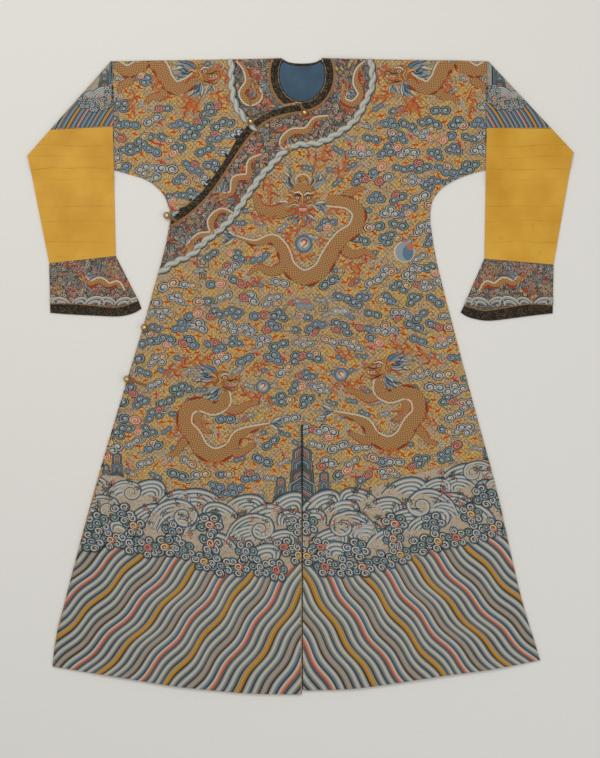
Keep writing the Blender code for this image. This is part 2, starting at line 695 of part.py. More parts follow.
def cord(name, points):
    """A silk cord through these points."""
    line = bpy.data.curves.new(name, "CURVE")
    line.dimensions = "3D"
    line.bevel_depth = CORD_RADIUS * MM
    line.bevel_resolution = 2
    line.use_fill_caps = True
    path = line.splines.new("POLY")
    path.points.add(len(points) - 1)
    for point, values in zip(path.points, points):
        point.co = (*place(*values), 1)
    line.materials.append(material("gold braid"))
    item = bpy.data.objects.new(name, line)
    bpy.context.scene.collection.objects.link(item)
    return item


def button_loop(name, foot, ball, low_z):
    """A doubled cord that lies on the cloth from its foot and ends in an eye that hugs the ball."""
    leg, eye = 1.6, BALL_RADIUS + CORD_RADIUS + 2 * GAP
    reach = math.dist(foot, ball[:2])
    ux, ud = (ball[0] - foot[0]) / reach, (ball[1] - foot[1]) / reach
    stop = reach - eye

    def at(forward, aside, z):
        return (foot[0] + ux * forward - ud * aside, foot[1] + ud * forward + ux * aside, z)

    high = ball[2]
    out = [at(stop * k / 4, leg, low_z) for k in range(4)]
    out.append(at(stop - 2, leg, mix(low_z, high, 0.4)))
    turns = [math.radians(angle) for angle in range(-150, 151, 30)]
    round_it = [at(reach + eye * math.cos(t), -eye * math.sin(t), high) for t in turns]
    mirrored = []
    for k in reversed(range(len(out))):
        forward = (out[k][0] - foot[0]) * ux + (out[k][1] - foot[1]) * ud
        mirrored.append(at(forward, -leg, out[k][2]))
    return cord(name, out + round_it + mirrored)


def fastenings():
    on_trim = ON_OUTER_FRONT_Z + BRAID_HEIGHT + GAP + CORD_RADIUS
    on_cloth = OUTER_FRONT_Z + BODY_CLOTH + GAP + CORD_RADIUS + 0.4
    on_left_facing = ON_INNER_LAP_Z + FACING_CLOTH + GAP + CORD_RADIUS
    heights = {"neck": on_trim, "chest": on_left_facing, "underarm": on_trim, "waist": on_cloth, "side": on_cloth}
    for name, ball in BUTTONS.items():
        ball_button(name)
        button_loop(f"loop_{name}", LOOP_FEET[name], ball, heights[name])
    cord("chest_strap", [(x, depth, on_trim) for x, depth in smooth_line(CHEST_STRAP, 12)])


def stand_on_frame():
    """Moves every mesh so that the origin is at the bottom centre of the whole robe."""
    bpy.context.view_layer.update()
    corners = [
        item.matrix_world @ item.data.vertices[k].co
        for item in bpy.context.scene.objects if item.type == "MESH"
        for k in range(len(item.data.vertices))
    ]
    middle_x = (min(c.x for c in corners) + max(c.x for c in corners)) / 2
    middle_y = (min(c.y for c in corners) + max(c.y for c in corners)) / 2
    for item in bpy.context.scene.objects:
        item.location.x -= middle_x
        item.location.y -= middle_y


def main():
    clear_scene()
    body_half("left", "body_left", 12)
    body_half("right", "body_right", 14)
    overlap_panel(14)
    neck_trims()
    overlap_trims()
    for side in ("left", "right"):
        sleeve(side)
        cuff(side)
    fastenings()
    stand_on_frame()


main()
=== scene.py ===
"""Looks of the Chinese dragon robe: silk, gauze ground, embroidery, bindings, braid and gilt buttons.

Garment millimetres are used throughout: x runs right from the centre front seam, d runs down from the
shoulder line, and lift is the height above the cloth.  Embroidery is drawn as flat shapes in them and then
laid on the cloth.
"""

import bisect
from math import atan2, cos, degrees, pi, radians, sin

import bmesh  # noqa: E402
import bpy  # noqa: E402
import numpy as np  # noqa: E402
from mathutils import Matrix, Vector  # noqa: E402
from mathutils.bvhtree import BVHTree  # noqa: E402


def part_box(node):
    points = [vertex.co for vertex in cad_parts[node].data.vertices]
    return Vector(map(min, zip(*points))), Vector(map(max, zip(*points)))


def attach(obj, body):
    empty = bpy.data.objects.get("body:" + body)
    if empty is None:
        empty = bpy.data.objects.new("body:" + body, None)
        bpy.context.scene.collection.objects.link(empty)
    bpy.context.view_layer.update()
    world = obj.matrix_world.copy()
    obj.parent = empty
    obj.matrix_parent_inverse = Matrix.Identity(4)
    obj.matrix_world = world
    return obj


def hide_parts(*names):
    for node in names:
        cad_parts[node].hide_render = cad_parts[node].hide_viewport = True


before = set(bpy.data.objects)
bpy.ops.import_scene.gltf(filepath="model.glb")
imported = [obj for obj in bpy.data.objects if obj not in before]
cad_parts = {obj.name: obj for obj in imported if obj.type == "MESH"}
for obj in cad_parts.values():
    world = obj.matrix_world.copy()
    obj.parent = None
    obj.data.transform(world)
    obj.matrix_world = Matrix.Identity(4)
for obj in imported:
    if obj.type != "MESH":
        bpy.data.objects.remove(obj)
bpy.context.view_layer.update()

ROBE_LENGTH = 1427.0
SEAM_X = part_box("front_overlap")[1].x * 1000 + 0.15
SHOULDER_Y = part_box("body_left")[0].y * 1000 + ROBE_LENGTH
TAU = 2 * pi
SEED = 11

# ---- the camera, straight above the robe, and the studio --------------------------------------------------
PICTURE_HEIGHT = 1.7055         # metres of floor that the picture shows
PICTURE_CENTRE = (-4.5, 717.8)
SENSOR, LENS = 36.0, 100.0
FLOOR_SIZE = 14
FLOOR_WHITE, FLOOR_GREY = (226, 224, 218), (218, 216, 210)


def at(x, d, z=0.0):
    """World position of a place on the garment."""
    return Vector(((SEAM_X + x) / 1000, (SHOULDER_Y - d) / 1000, z / 1000))


def link(name, data):
    """A new object in the scene."""
    made = bpy.data.objects.new(name, data)
    bpy.context.scene.collection.objects.link(made)
    return made


def add_camera():
    data = bpy.data.cameras.new("camera")
    data.sensor_width, data.lens, data.clip_end = SENSOR, LENS, 50
    camera = link("camera", data)
    camera.location = at(*PICTURE_CENTRE)
    camera.location.z = PICTURE_HEIGHT * LENS / SENSOR
    bpy.context.scene.camera = camera


def add_light(name, place, size, power, colour):
    data = bpy.data.lights.new(name, "AREA")
    data.shape, data.size, data.energy, data.color = "DISK", size, power, colour
    lamp = link(name, data)
    lamp.location = place
    lamp.rotation_euler = (-Vector(place)).to_track_quat("-Z", "Y").to_euler()


def add_studio():
    """A pale floor, soft daylight from the upper left and a weak fill."""
    add_light("key_light", (-0.9, 1.6, 2.7), 1.3, 33, (1.0, 0.97, 0.93))
    add_light("fill_light", (2.3, -0.9, 2.8), 2.2, 18, (0.94, 0.97, 1.0))
    world = bpy.data.worlds.new("studio")
    world.use_nodes = True
    sky = world.node_tree.nodes["Background"].inputs
    sky["Color"].default_value = (1, 1, 1, 1)
    sky["Strength"].default_value = 0.6
    bpy.context.scene.world = world
    bpy.context.scene.view_settings.view_transform = "Standard"
    bpy.ops.mesh.primitive_plane_add(size=FLOOR_SIZE)
    floor = bpy.context.object
    floor.name = "floor"
    paint = Paint("floor_paper", FLOOR_WHITE, 0.9, aged=CLEAN)
    paint.mix(paint.noise(6.0), FLOOR_WHITE, FLOOR_GREY)
    floor.data.materials.append(paint.finish())


# ---- materials --------------------------------------------------------------------------------------------

CLEAN = (1.0, 1.0, 1.0)
AGED = (0.68, 0.64, 0.57)       # how much light the old silk still gives back of each clean colour
SILK_GLOSS, METAL_GLOSS = 0.15, 0.5


def linear(rgb, aged):
    """Scene-linear colour of an 0 to 255 one."""
    clean = [((c / 255 + 0.055) / 1.055) ** 2.4 if c > 10 else c / 3294.6 for c in rgb]
    return tuple(c * share for c, share in zip(clean, aged)) + (1.0,)


class Paint:
    """A Principled material with short calls for the nodes that this robe needs, in millimetres."""

    def __init__(self, name, rgb, roughness, metallic=0.0, aged=AGED):
        self.aged, self.place, self.base = aged, None, None
        self.material = bpy.data.materials.new(name)
        self.material.use_nodes = True
        self.tree = self.material.node_tree
        self.shader = self.tree.nodes["Principled BSDF"]
        gloss = METAL_GLOSS if metallic else SILK_GLOSS
        for socket, value in (("Base Color", linear(rgb, aged)), ("Roughness", roughness),
                              ("Metallic", metallic), ("Specular IOR Level", gloss)):
            self.shader.inputs[socket].default_value = value

    def node(self, kind, **settings):
        made = self.tree.nodes.new(kind)
        for name, value in settings.items():
            setattr(made, name, value)
        return made

    def put(self, socket, value):
        if isinstance(value, bpy.types.NodeSocket):
            self.tree.links.new(value, socket)
        else:
            socket.default_value = value

    def fill(self, made, values):
        """Put values into the first sockets of a node."""
        for socket, value in zip(made.inputs, values):
            self.put(socket, value)
        return made.outputs[0]

    def math(self, operation, *values):
        return self.fill(self.node("ShaderNodeMath", operation=operation), values)

    def plus(self, a, b):
        return self.math("ADD", a, b)

    def times(self, a, b):
        return self.math("MULTIPLY", a, b)

    def two_of(self, vector):
        """The first two numbers of a vector."""
        made = self.node("ShaderNodeSeparateXYZ")
        self.put(made.inputs[0], vector)
        return made.outputs[0], made.outputs[1]

    def mm(self):
        """The place on the garment in millimetres, as (vector, x, y)."""
        if self.place is None:
            scaled = self.node("ShaderNodeVectorMath", operation="SCALE")
            self.put(scaled.inputs[0], self.node("ShaderNodeTexCoord").outputs["Object"])
            scaled.inputs["Scale"].default_value = 1000
            self.place = (scaled.outputs[0], *self.two_of(scaled.outputs[0]))
        return self.place

    def uv(self):
        """The embroidery's own u and v, in millimetres along and across the thread band."""
        return self.two_of(self.node("ShaderNodeUVMap", uv_map="thread").outputs[0])

    def noise(self, size, detail=2.0, offset=0.0, place=None):
        """Soft noise between 0 and 1 whose patches are about this wide."""
        made = self.node("ShaderNodeTexNoise", noise_dimensions="4D" if offset else "3D")
        self.put(made.inputs["Vector"], self.mm()[0] if place is None else place)
        if offset:
            made.inputs["W"].default_value = offset
        made.inputs["Scale"].default_value = 1 / size
        made.inputs["Detail"].default_value = detail
        return made.outputs[0]

    def band(self, value, low, high):
        """0 below low, 1 above high."""
        return self.fill(self.node("ShaderNodeMapRange"), (value, low, high, 0.0, 1.0))

    def patches(self, size, detail, low, high, offset=0.0):
        """Noise cut to patches: 0 where it is below low, 1 above high."""
        return self.band(self.noise(size, detail, offset), low, high)

    def ripple(self, value, period):
        """A wave between 0 and 1 with this period."""
        return self.math("MULTIPLY_ADD", self.math("SINE", self.times(value, TAU / period)), 0.5, 0.5)

    def slants(self, a, b, period):
        """The waves along both diagonals."""
        return [self.ripple(self.math(way, a, b), period) for way in ("ADD", "SUBTRACT")]

    def curls(self, size, period, low, high):
        """Winding lines between patches of this size."""
        return self.band(self.ripple(self.times(self.noise(size, 1), 60.0), period), low, high)

    def mix(self, factor, a, b):
        """The colour that stands for all so far: a where factor is 0, b where it is 1."""
        made = self.node("ShaderNodeMix", data_type="RGBA")
        self.put(made.inputs[0], factor)
        for socket, value in ((made.inputs[6], a), (made.inputs[7], b)):
            self.put(socket, value if isinstance(value, bpy.types.NodeSocket) else linear(value, self.aged))
        self.base = made.outputs[2]

    def layer(self, mask, strength, rgb):
        """Another colour over what is there."""
        self.mix(self.times(mask, strength), self.base, rgb)

    def finish(self, height=None, depth=0.0):
        """Put the colour and a relief of this depth on the shader."""
        if self.base is not None:
            self.put(self.shader.inputs["Base Color"], self.base)
        if height is not None:
            bump = self.node("ShaderNodeBump")
            bump.inputs["Strength"].default_value = 1.0
            bump.inputs["Distance"].default_value = depth / 1000
            self.put(bump.inputs["Height"], height)
            self.put(self.shader.inputs["Normal"], bump.outputs[0])
        return self.material


def ground_silk():
    """Yellow ground worked all over: a fine lattice, grey-green curls, and dark and red hooks."""
    paint = Paint("ground_silk", (200, 160, 86), 0.62)
    lines = [paint.band(slant, 0.80, 0.97) for slant in paint.slants(*paint.mm()[1:], 10.4)]
    curls = paint.curls(7.5, 9.0, 0.60, 0.84)
    paint.mix(paint.patches(26, 3, 0.36, 0.64), (246, 202, 108), (218, 194, 160))
    paint.layer(curls, 0.7, (142, 150, 142))
    paint.layer(paint.math("MAXIMUM", *lines), 0.44, (92, 84, 64))
    paint.layer(paint.patches(3.4, 1, 0.60, 0.64), 0.8, (58, 58, 54))
    paint.layer(paint.patches(4.3, 1, 0.60, 0.64, 40), 0.7, (200, 108, 60))
    return paint.finish(paint.plus(curls, paint.noise(2.5, 2)), 0.12)


# Painted shade of old packing creases across the plain sleeves, laid as darker lines in the colour: how far
# below the shoulder, and how dark.
CREASE_SHADE_LINES = [(186, 0.6), (212, 0.3), (238, 0.55), (262, 0.3), (322, 0.4), (356, 0.3), (404, 0.45)]


def plain_silk():
    """Golden yellow satin with faint stains, painted shade along the creases, and fine crosswise slubs."""
    paint = Paint("plain_silk", (226, 172, 52), 0.42)
    place, _, y = paint.mm()
    paint.mix(paint.patches(80, 4, 0.28, 0.74), (250, 198, 80), (226, 168, 54))
    wander = paint.math("MULTIPLY_ADD", paint.noise(90, 1), 14.0, y)
    for down, strength in CREASE_SHADE_LINES:
        far = paint.math("ABSOLUTE", paint.math("SUBTRACT", wander, SHOULDER_Y - down))
        crease_shade = paint.times(paint.band(far, 1.6, 0.2), paint.patches(45, 2, 0.3, 0.7, down))
        # Painted shade: a darker line along each crease; the creases are not raised in the relief.
        paint.layer(crease_shade, strength, (150, 104, 28))
    paint.layer(paint.patches(16, 2, 0.66, 0.72, 7), 0.16, (150, 110, 40))
    stretched = paint.node("ShaderNodeVectorMath", operation="MULTIPLY")
    slub = paint.noise(1.0, place=paint.fill(stretched, (place, (0.02, 1.1, 1))))
    return paint.finish(paint.plus(slub, paint.ripple(y, 1.1)), 0.06)


def facing_silk():
    """Brown-black ground, thickly filled with small pale scrolls."""
    paint = Paint("facing_silk", (52, 48, 50), 0.6)
    curls = paint.curls(6.0, 8.0, 0.6, 0.8)
    paint.mix(curls, (34, 30, 34), (140, 140, 134))
    paint.layer(paint.patches(6.5, 1, 0.56, 0.60, 12), 0.75, (134, 78, 58))
    paint.layer(paint.patches(2.4, 1, 0.60, 0.64), 0.85, (212, 204, 188))
    return paint.finish(curls, 0.12)


def brocade():
    """Brown-black brocade with scattered gold threads."""
    paint = Paint("dark_brocade", (40, 32, 27), 0.6)
    figure = paint.patches(9, 1, 0.35, 0.6)
    gold = paint.band(paint.math("MULTIPLY_ADD", figure, 0.08, paint.noise(2.6, 2)), 0.57, 0.66)
    paint.mix(gold, (30, 25, 23), (112, 96, 68))
    return paint.finish(gold, 0.1)


def wave_silk():
    """The water's ground: cream couching with dark specks."""
    paint = Paint("wave_silk", (186, 174, 158), 0.6)
    paint.mix(paint.patches(9, 3, 0.35, 0.65), (198, 184, 166), (166, 160, 152))
    paint.layer(paint.patches(2.6, 1, 0.62, 0.66), 0.6, (104, 98, 96))
    return paint.finish(paint.noise(2.2, 2), 0.15)


def braid_silk():
    """Tan and gold braid, twisted on the slant."""
    paint = Paint("gilt_braid", (186, 138, 88), 0.5)
    _, x, y = paint.mm()
    slant = paint.ripple(paint.plus(x, paint.times(y, 0.6)), 2.2)
    paint.mix(paint.band(slant, 0.15, 0.6), (128, 84, 48), (202, 152, 100))
    return paint.finish(slant, 0.25)


def cord_silk():
    paint = Paint("silk_cord", (176, 140, 96), 0.6)
    twist = paint.ripple(paint.plus(*paint.mm()[1:]), 1.7)
    paint.mix(twist, (120, 90, 58), (196, 160, 112))
    return paint.finish(twist, 0.2)


def lining_silk(name, rgb):
    """Plain woven silk with a slight slub, a little faded in patches."""
    paint = Paint(name, rgb, 0.5)
    _, x, y = paint.mm()
    paint.mix(paint.patches(40, 3, 0.3, 0.7), rgb, tuple(0.87 * c for c in rgb))
    threads = paint.times(paint.ripple(x, 0.9), paint.ripple(y, 0.9))
    return paint.finish(paint.plus(threads, paint.noise(5, 3)), 0.05)


def gilt():
    """Worn gilding on a chased ball."""
    paint = Paint("gilt_brass", (226, 186, 112), 0.26, metallic=1.0, aged=CLEAN)
    worn = paint.patches(2.0, 3, 0.5, 0.75)
    paint.put(paint.shader.inputs["Roughness"], paint.math("MULTIPLY_ADD", worn, 0.25, 0.22))
    paint.mix(worn, (232, 194, 122), (176, 132, 70))
    return paint.finish(paint.noise(1.3, 1), 0.15)


def finishes():
    """The material of every slot of the cloth."""
    return {"ground_silk": ground_silk(), "plain_silk": plain_silk(), "facing_silk": facing_silk(),
            "dark_brocade": brocade(), "gilt_braid": braid_silk(), "wave_silk": wave_silk(),
            "silk_cord": cord_silk(), "gilt_brass": gilt(),
            "blue_lining": lining_silk("blue_lining", (75, 106, 136)),
            # The inner faces' lining: real blue lining silk, made darker than the neck lining as painted
            # shade so the slit between the fronts reads dark.
            "inner_lining_and_shade": lining_silk("inner_lining_and_shade", (44, 56, 74))}


THREADS = {
    "navy": (34, 42, 62), "blue": (104, 134, 170), "pale": (156, 174, 186), "white": (216, 213, 203),
    "cream": (232, 214, 188), "grey": (166, 168, 164), "slate": (102, 116, 128), "ink": (34, 39, 43),
    "coral": (208, 124, 102), "coral_dark": (136, 72, 60), "coral_light": (230, 166, 146),
    "red": (188, 68, 40), "orange": (210, 122, 56), "ochre": (190, 140, 54), "ochre_dark": (108, 78, 36),
    "ochre_light": (212, 170, 92), "taupe": (156, 142, 131), "taupe_dark": (80, 74, 70),
    "taupe_light": (188, 176, 166), "pink": (218, 152, 140), "teal": (82, 118, 116), "gold": (180, 128, 74),
    "gold_dark": (112, 68, 34), "gold_light": (220, 170, 100), "brown": (74, 46, 34), "bed": (204, 190, 172),
    "yellow": (226, 186, 104), "scales": (182, 130, 74),
}
THREAD_NAMES = list(THREADS)


def thread(name):
    """Silk floss laid in satin stitch across the band that it fills."""
    paint = Paint(f"thread_{name}", THREADS[name], 0.48)
    along, across = paint.uv()
    if name == "scales":
        rows = paint.band(paint.times(*paint.slants(along, across, 7.2)), 0.02, 0.3)
        paint.mix(rows, (150, 110, 70), (204, 156, 102))
        return paint.finish(rows, 0.2)
    if name == "gold":
        paint.mix(paint.patches(5.0, 2, 0.42, 0.58), (150, 100, 60), (200, 150, 92))
    if name == "bed":
        paint.mix(paint.patches(3.2, 2, 0.5, 0.66), (206, 192, 174), (158, 148, 140))
    rows = paint.math("MULTIPLY_ADD", paint.ripple(across, 4), 0.3, 0.7)
    return paint.finish(paint.times(paint.ripple(along, 0.9), rows), 0.08)


# ---- cloth ------------------------------------------------------------------------------------------------
# Soft ridges pressed into the cloth.  Columns: x and d of both ends, width, height.
RIDGES = [
    (-150, 560, -262, 1010, 34, 1.3), (-60, 640, -96, 1180, 30, 1.0), (112, 600, 214, 1120, 34, 1.3),
    (236, 560, 318, 980, 28, 0.9), (40, 760, 66, 1290, 26, 0.8), (-330, 900, -430, 1290, 30, 0.9),
    (-210, 190, -330, 262, 30, 0.9), (-240, 60, -396, 150, 32, 0.8), (232, 210, 352, 246, 28, 0.9),
    (222, 70, 388, 120, 32, 0.8), (30, 420, 150, 470, 34, 0.8), (180, 380, 262, 352, 26, 0.9),
    (-235, 470, -140, 530, 28, 0.7), (-440, 232, -598, 262, 16, 0.6), (-438, 300, -580, 312, 14, 0.7),
    (-436, 372, -572, 366, 16, 0.5), (430, 226, 590, 240, 16, 0.6), (428, 322, 572, 306, 14, 0.7),
    (424, 392, 566, 400, 16, 0.5), (-500, 190, -470, 420, 22, 0.5), (500, 190, 470, 420, 22, 0.5),
]
# Heights in millimetres.
FRONT_LEAF, BACK_LEAF = 1.6, 0.9        # the lowest tops that stitches may lie on, for either leaf
INNER_TOP, INNER_UNDER = 1.6, 1.5       # the back leaf's upper face and the front leaf's lower face
MOVED_FROM, MOVED_OVER = 1.4, 0.3       # the ridges fade in here, so the floor side stays flat
RAY_START = 60

SHARP, FLAT = radians(40), radians(0.2)
WELD, CUT = 2e-6, 1e-6                  # metres

# Cloth nodes: longest cell in mm, slot, then for a sheet its flat size in metres, its area and its hold.
GARMENT = [
    ("body_left", 11, "ground_silk", (0.561, 2.86), 1.19, "folded"),
    ("body_right", 11, "ground_silk", (0.536, 2.84), 1.12, "folded"),
    ("front_overlap", 9, "ground_silk", (0.561, 1.33), 0.50),
    ("neck_facing_left", 7, "facing_silk", (0.118, 0.140), 0.0113),
    ("neck_facing_right", 7, "facing_silk", (0.162, 0.200), 0.0180),
    ("overlap_facing", 7, "facing_silk", (0.105, 0.450), 0.0305),
    ("neck_lining", 7, "blue_lining", (0.103, 0.089), 0.0073),
    ("neck_binding_left", 4, "dark_brocade", (0.018, 0.128), 0.0018),
    ("neck_binding_right", 4, "dark_brocade", (0.018, 0.150), 0.0023),
    ("neck_binding_back", 4, "dark_brocade", (0.01, 0.083), 0.00035),
    ("overlap_binding", 4, "dark_brocade", (0.0185, 0.405), 0.0060),
    ("neck_braid_left", 4, "gilt_braid"),
    ("neck_braid_right", 4, "gilt_braid"),
    ("overlap_braid", 4, "gilt_braid"),
]
SLEEVE_LEAF = [
    ("sleeve_band", 9, "wave_silk", (0.250, 0.210), 0.030, "folded"),
    ("sleeve_plain", 8, "plain_silk", (0.240, 0.330), 0.051, "folded"),
    ("cuff", 7, "facing_silk", (0.202, 0.116), 0.0182),
    ("cuff_binding", 5, "dark_brocade", (0.207, 0.021), 0.0042),
]


def smooth(share):
    share = np.clip(share, 0, 1)
    return share * share * (3 - 2 * share)


def ridge_height(x, d):
    """Height of all ridges at these places, in millimetres."""
    total = np.zeros_like(x)
    for x0, d0, x1, d1, width, height in RIDGES:
        run = np.array([x1 - x0, d1 - d0])
        length = np.hypot(*run)
        along = ((x - x0) * run[0] + (d - d0) * run[1]) / length ** 2
        across = ((x - x0) * run[1] - (d - d0) * run[0]) / length
        wander = 0.3 * width * np.sin(along * 5 + x0)
        profile = np.exp(-(((across + wander) / (0.5 * width)) ** 2))
        total += height * profile * smooth(along * 5) * smooth((1 - along) * 5)
    return total


def press(mesh):
    """Raise the upper layers by the ridges."""
    places = np.empty(len(mesh.vertices) * 3)
    mesh.vertices.foreach_get("co", places)
    x, y, z = places.reshape(-1, 3).T
    share = smooth((z * 1000 - MOVED_FROM) / MOVED_OVER)
    z += ridge_height(x * 1000 - SEAM_X, SHOULDER_Y - y * 1000) * share / 1000
    mesh.vertices.foreach_set("co", places)


def divide(mesh, low, high, cell):
    """Cut a wall's faces along even lines, at most a cell apart."""
    shape = bmesh.new()
    shape.from_mesh(mesh)
    bmesh.ops.remove_doubles(shape, verts=shape.verts, dist=WELD)
    bmesh.ops.dissolve_limit(shape, angle_limit=FLAT, verts=shape.verts, edges=shape.edges)
    for axis in (0, 1):
        normal = Vector((axis == 0, axis == 1, 0))
        steps = int((high[axis] - low[axis]) * 1000 / cell)
        for k in range(1, steps):
            middle = low + (high - low) * (k / steps)
            parts = shape.verts[:] + shape.edges[:] + shape.faces[:]
            bmesh.ops.bisect_plane(shape, geom=parts, plane_co=middle, plane_no=normal, dist=CUT)
    shape.to_mesh(mesh)
    shape.free()


def line_inside(mesh):
    """Give the faces that turn to the inside of the robe the second material."""
    for face in mesh.polygons:
        height, up = face.center.z * 1000, face.normal.z
        if (up > 0.9 and height < INNER_TOP) or (up < -0.9 and height > INNER_UNDER):
            face.material_index = 1


def dress(node, cell, slot, flat=None, area=None, held="laid"):
    """A finely divided copy of a node's wall with the ridges pressed in."""
    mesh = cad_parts[node].data.copy()
    mesh.materials.clear()
    mesh.materials.append(FINISHES[slot])
    divide(mesh, *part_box(node), cell)
    press(mesh)
    mesh.shade_smooth()
    mesh.set_sharp_from_angle(angle=SHARP)
    if slot == "ground_silk":
        # The inner faces take the darker lining, which carries painted shade.
        mesh.materials.append(FINISHES["inner_lining_and_shade"])
        line_inside(mesh)
    piece = link(f"{node}_cloth", mesh)
    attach(piece, "root")
    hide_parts(node)
    return piece


def finish_node(node, finish):
    """A node that is kept, in its own finish and shaded smooth."""
    node.data.materials.clear()
    node.data.materials.append(finish)
    node.data.shade_smooth()


def dress_robe():
    """Every cloth node dressed, by its name; buttons and cords get their finish."""
    rows = list(GARMENT)
    for side in ("left", "right"):
        for leaf in ("back", "front"):
            rows += [(f"{side}_{part}_{leaf}", *rest) for part, *rest in SLEEVE_LEAF]
        rows.append((f"{side}_cuff_braid", 5, "gilt_braid"))
    for name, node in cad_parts.items():
        if name.startswith("button_"):
            finish_node(node, FINISHES["gilt_brass"])
        elif name.startswith("loop_") or name == "chest_strap":
            finish_node(node, FINISHES["silk_cord"])
    return {row[0]: dress(*row) for row in rows}


# ---- embroidery: flat shapes ------------------------------------------------------------------------------

class Shape:
    """Stitches: points (x, d, lift), faces of four corners, a thread for each face, a UV for each point."""

    def __init__(self, points, faces, threads, uv):
        self.points, self.faces, self.threads, self.uv = points, faces, threads, uv

    def moved(self, x=0.0, d=0.0, size=1.0, turn=0.0, flip=False, lift=0.0):
        """This shape scaled, mirrored left to right if flip, turned by degrees and put at a place."""
        c, s = cos(radians(turn)), sin(radians(turn))
        points = self.points.copy()
        across = points[:, 0] * size * (-1 if flip else 1)
        down = points[:, 1] * size
        points[:, 0] = x + across * c - down * s
        points[:, 1] = d + across * s + down * c
        points[:, 2] += lift
        return Shape(points, self.faces, self.threads, self.uv * size)

    def dyed(self, **swaps):
        """This shape with threads swapped by name."""
        table = np.arange(len(THREAD_NAMES))
        for old, new in swaps.items():
            table[THREAD_NAMES.index(old)] = THREAD_NAMES.index(new)
        return Shape(self.points, self.faces, table[self.threads], self.uv)


def join(shapes):
    """Several shapes as one."""
    starts = np.cumsum([0] + [len(s.points) for s in shapes[:-1]])
    faces = [s.faces + start for s, start in zip(shapes, starts)]
    lists = [s.points for s in shapes], faces, [s.threads for s in shapes], [s.uv for s in shapes]
    return Shape(*map(np.concatenate, lists))


def joined(make):
    """Make a function that yields shapes return them as one."""
    return lambda *values, **named: join(list(make(*values, **named)))


def run_of(line):
    """Distance along a line at each of its points."""
    return np.concatenate([[0], np.cumsum(np.hypot(*np.diff(line, axis=0).T))])


def at_runs(line, run, wanted):
    """The points of a line at these distances along it."""
    return np.column_stack([np.interp(wanted, run, column) for column in line.T])


CURVE_STEPS = 12            # between two given points


def curve(points, spacing=4.0):
    """A smooth line through a few points, with even spacing."""
    points = np.asarray(points, float)
    padded = np.vstack([2 * points[0] - points[1], points, 2 * points[-1] - points[-2]])
    t = np.linspace(0, 1, CURVE_STEPS, endpoint=False)[:, None]
    pieces = []
    for a, b, c, e in zip(padded, padded[1:], padded[2:], padded[3:]):
        pieces.append(0.5 * (2 * b + (c - a) * t + (2 * a - 5 * b + 4 * c - e) * t ** 2
                             + (3 * b - a - 3 * c + e) * t ** 3))
    dense = np.vstack(pieces + [points[-1:]])
    run = run_of(dense)
    return at_runs(dense, run, np.linspace(0, run[-1], max(3, int(run[-1] / spacing) + 1)))


def bent(points, spacing=5.0):
    """A line with sharp corners through a few points, with points between them."""
    points = np.asarray(points, float)
    run = run_of(points)
    return at_runs(points, run, np.union1d(np.arange(0, run[-1], spacing), run))


def normals(line):
    """The way to one side of a line at each of its points."""
    way = np.gradient(line, axis=0)
    way /= np.maximum(np.hypot(*way.T), 1e-9)[:, None]
    return np.column_stack([-way[:, 1], way[:, 0]])


def ribbon(line, width, bands, lift, dome):
    """A band of thread along a line.  width is given at even shares of the run.  bands are (thread, edge)
    across it, with the edges going up to 1 from the first edge at -1."""
    line = np.asarray(line, float)
    run, width = run_of(line), np.atleast_1d(width)
    half = np.interp(run / max(run[-1], 1e-9), np.linspace(0, 1, len(width)), width) / 2
    edges = np.array([-1.0] + [edge for _, edge in bands])
    across = edges[None, :] * half[:, None]
    flat = line[:, None, :] + normals(line)[:, None, :] * across[:, :, None]
    height = lift + dome * (1 - edges ** 2) + 0 * half[:, None]
    rows, columns = len(line), len(edges)
    points = np.concatenate([flat, height[:, :, None]], axis=2).reshape(-1, 3)
    corner = (np.arange(rows - 1)[:, None] * columns + np.arange(columns - 1)[None, :]).ravel()
    faces = np.column_stack([corner, corner + columns, corner + columns + 1, corner + 1])
    threads = np.tile([THREAD_NAMES.index(name) for name, _ in bands], rows - 1)
    uv = np.stack([np.repeat(run[:, None], columns, 1), across], axis=2).reshape(-1, 2)
    return Shape(points, faces, threads, uv)


def ellipse(x, d, wide, tall, start, end, count):
    """A line round an ellipse, in degrees clockwise from the right."""
    angle = np.radians(np.linspace(start, end, count))
    return np.column_stack([x + wide * np.cos(angle), d + tall * np.sin(angle)])


def arch(radius, tall, start, end, count, x=0.0, lean=0.55):
    """The upper part of an ellipse, leaning to the right."""
    line = ellipse(x, 0, radius, radius * tall, start, end, count)
    line[:, 0] -= lean * line[:, 1]
    return line


def spiral(radius, turns, start, count, squash=0.85):
    """A line that winds in to a fifth of its radius."""
    angle = np.radians(start) + np.linspace(0, TAU * turns, count)
    r = radius * np.linspace(1, 0.2, count)
    return np.column_stack([r * np.cos(angle), squash * r * np.sin(angle)])


def fan(outline, name, lift, dome, inner=()):
    """A filled shape: stitches from its outline to its middle.  inner rings are (share, share of dome)."""
    outline = np.asarray(outline, float)
    middle, count = outline.mean(axis=0), len(outline)
    rings = [(outline, 0.0)] + [(middle + (outline - middle) * share, rise) for share, rise in inner]
    points = [np.column_stack([ring, np.full(count, lift + rise * dome)]) for ring, rise in rings]
    points = np.vstack(points + [[[*middle, lift + dome]]])
    i = np.arange(count)
    j = (i + 1) % count
    faces = [np.column_stack([i, j, j + count, i + count]) + k * count for k in range(len(inner))]
    start, tip = len(inner) * count, np.full(count, len(points) - 1)
    faces = np.vstack(faces + [np.column_stack([i + start, j + start, tip, tip])])
    return Shape(points, faces, np.full(len(faces), THREAD_NAMES.index(name)), points[:, :2].copy())


def patch(outline, name, lift, dome):
    """A larger filled shape, rounded by one inner ring."""
    return fan(outline, name, lift, dome, [(0.6, 0.7)])


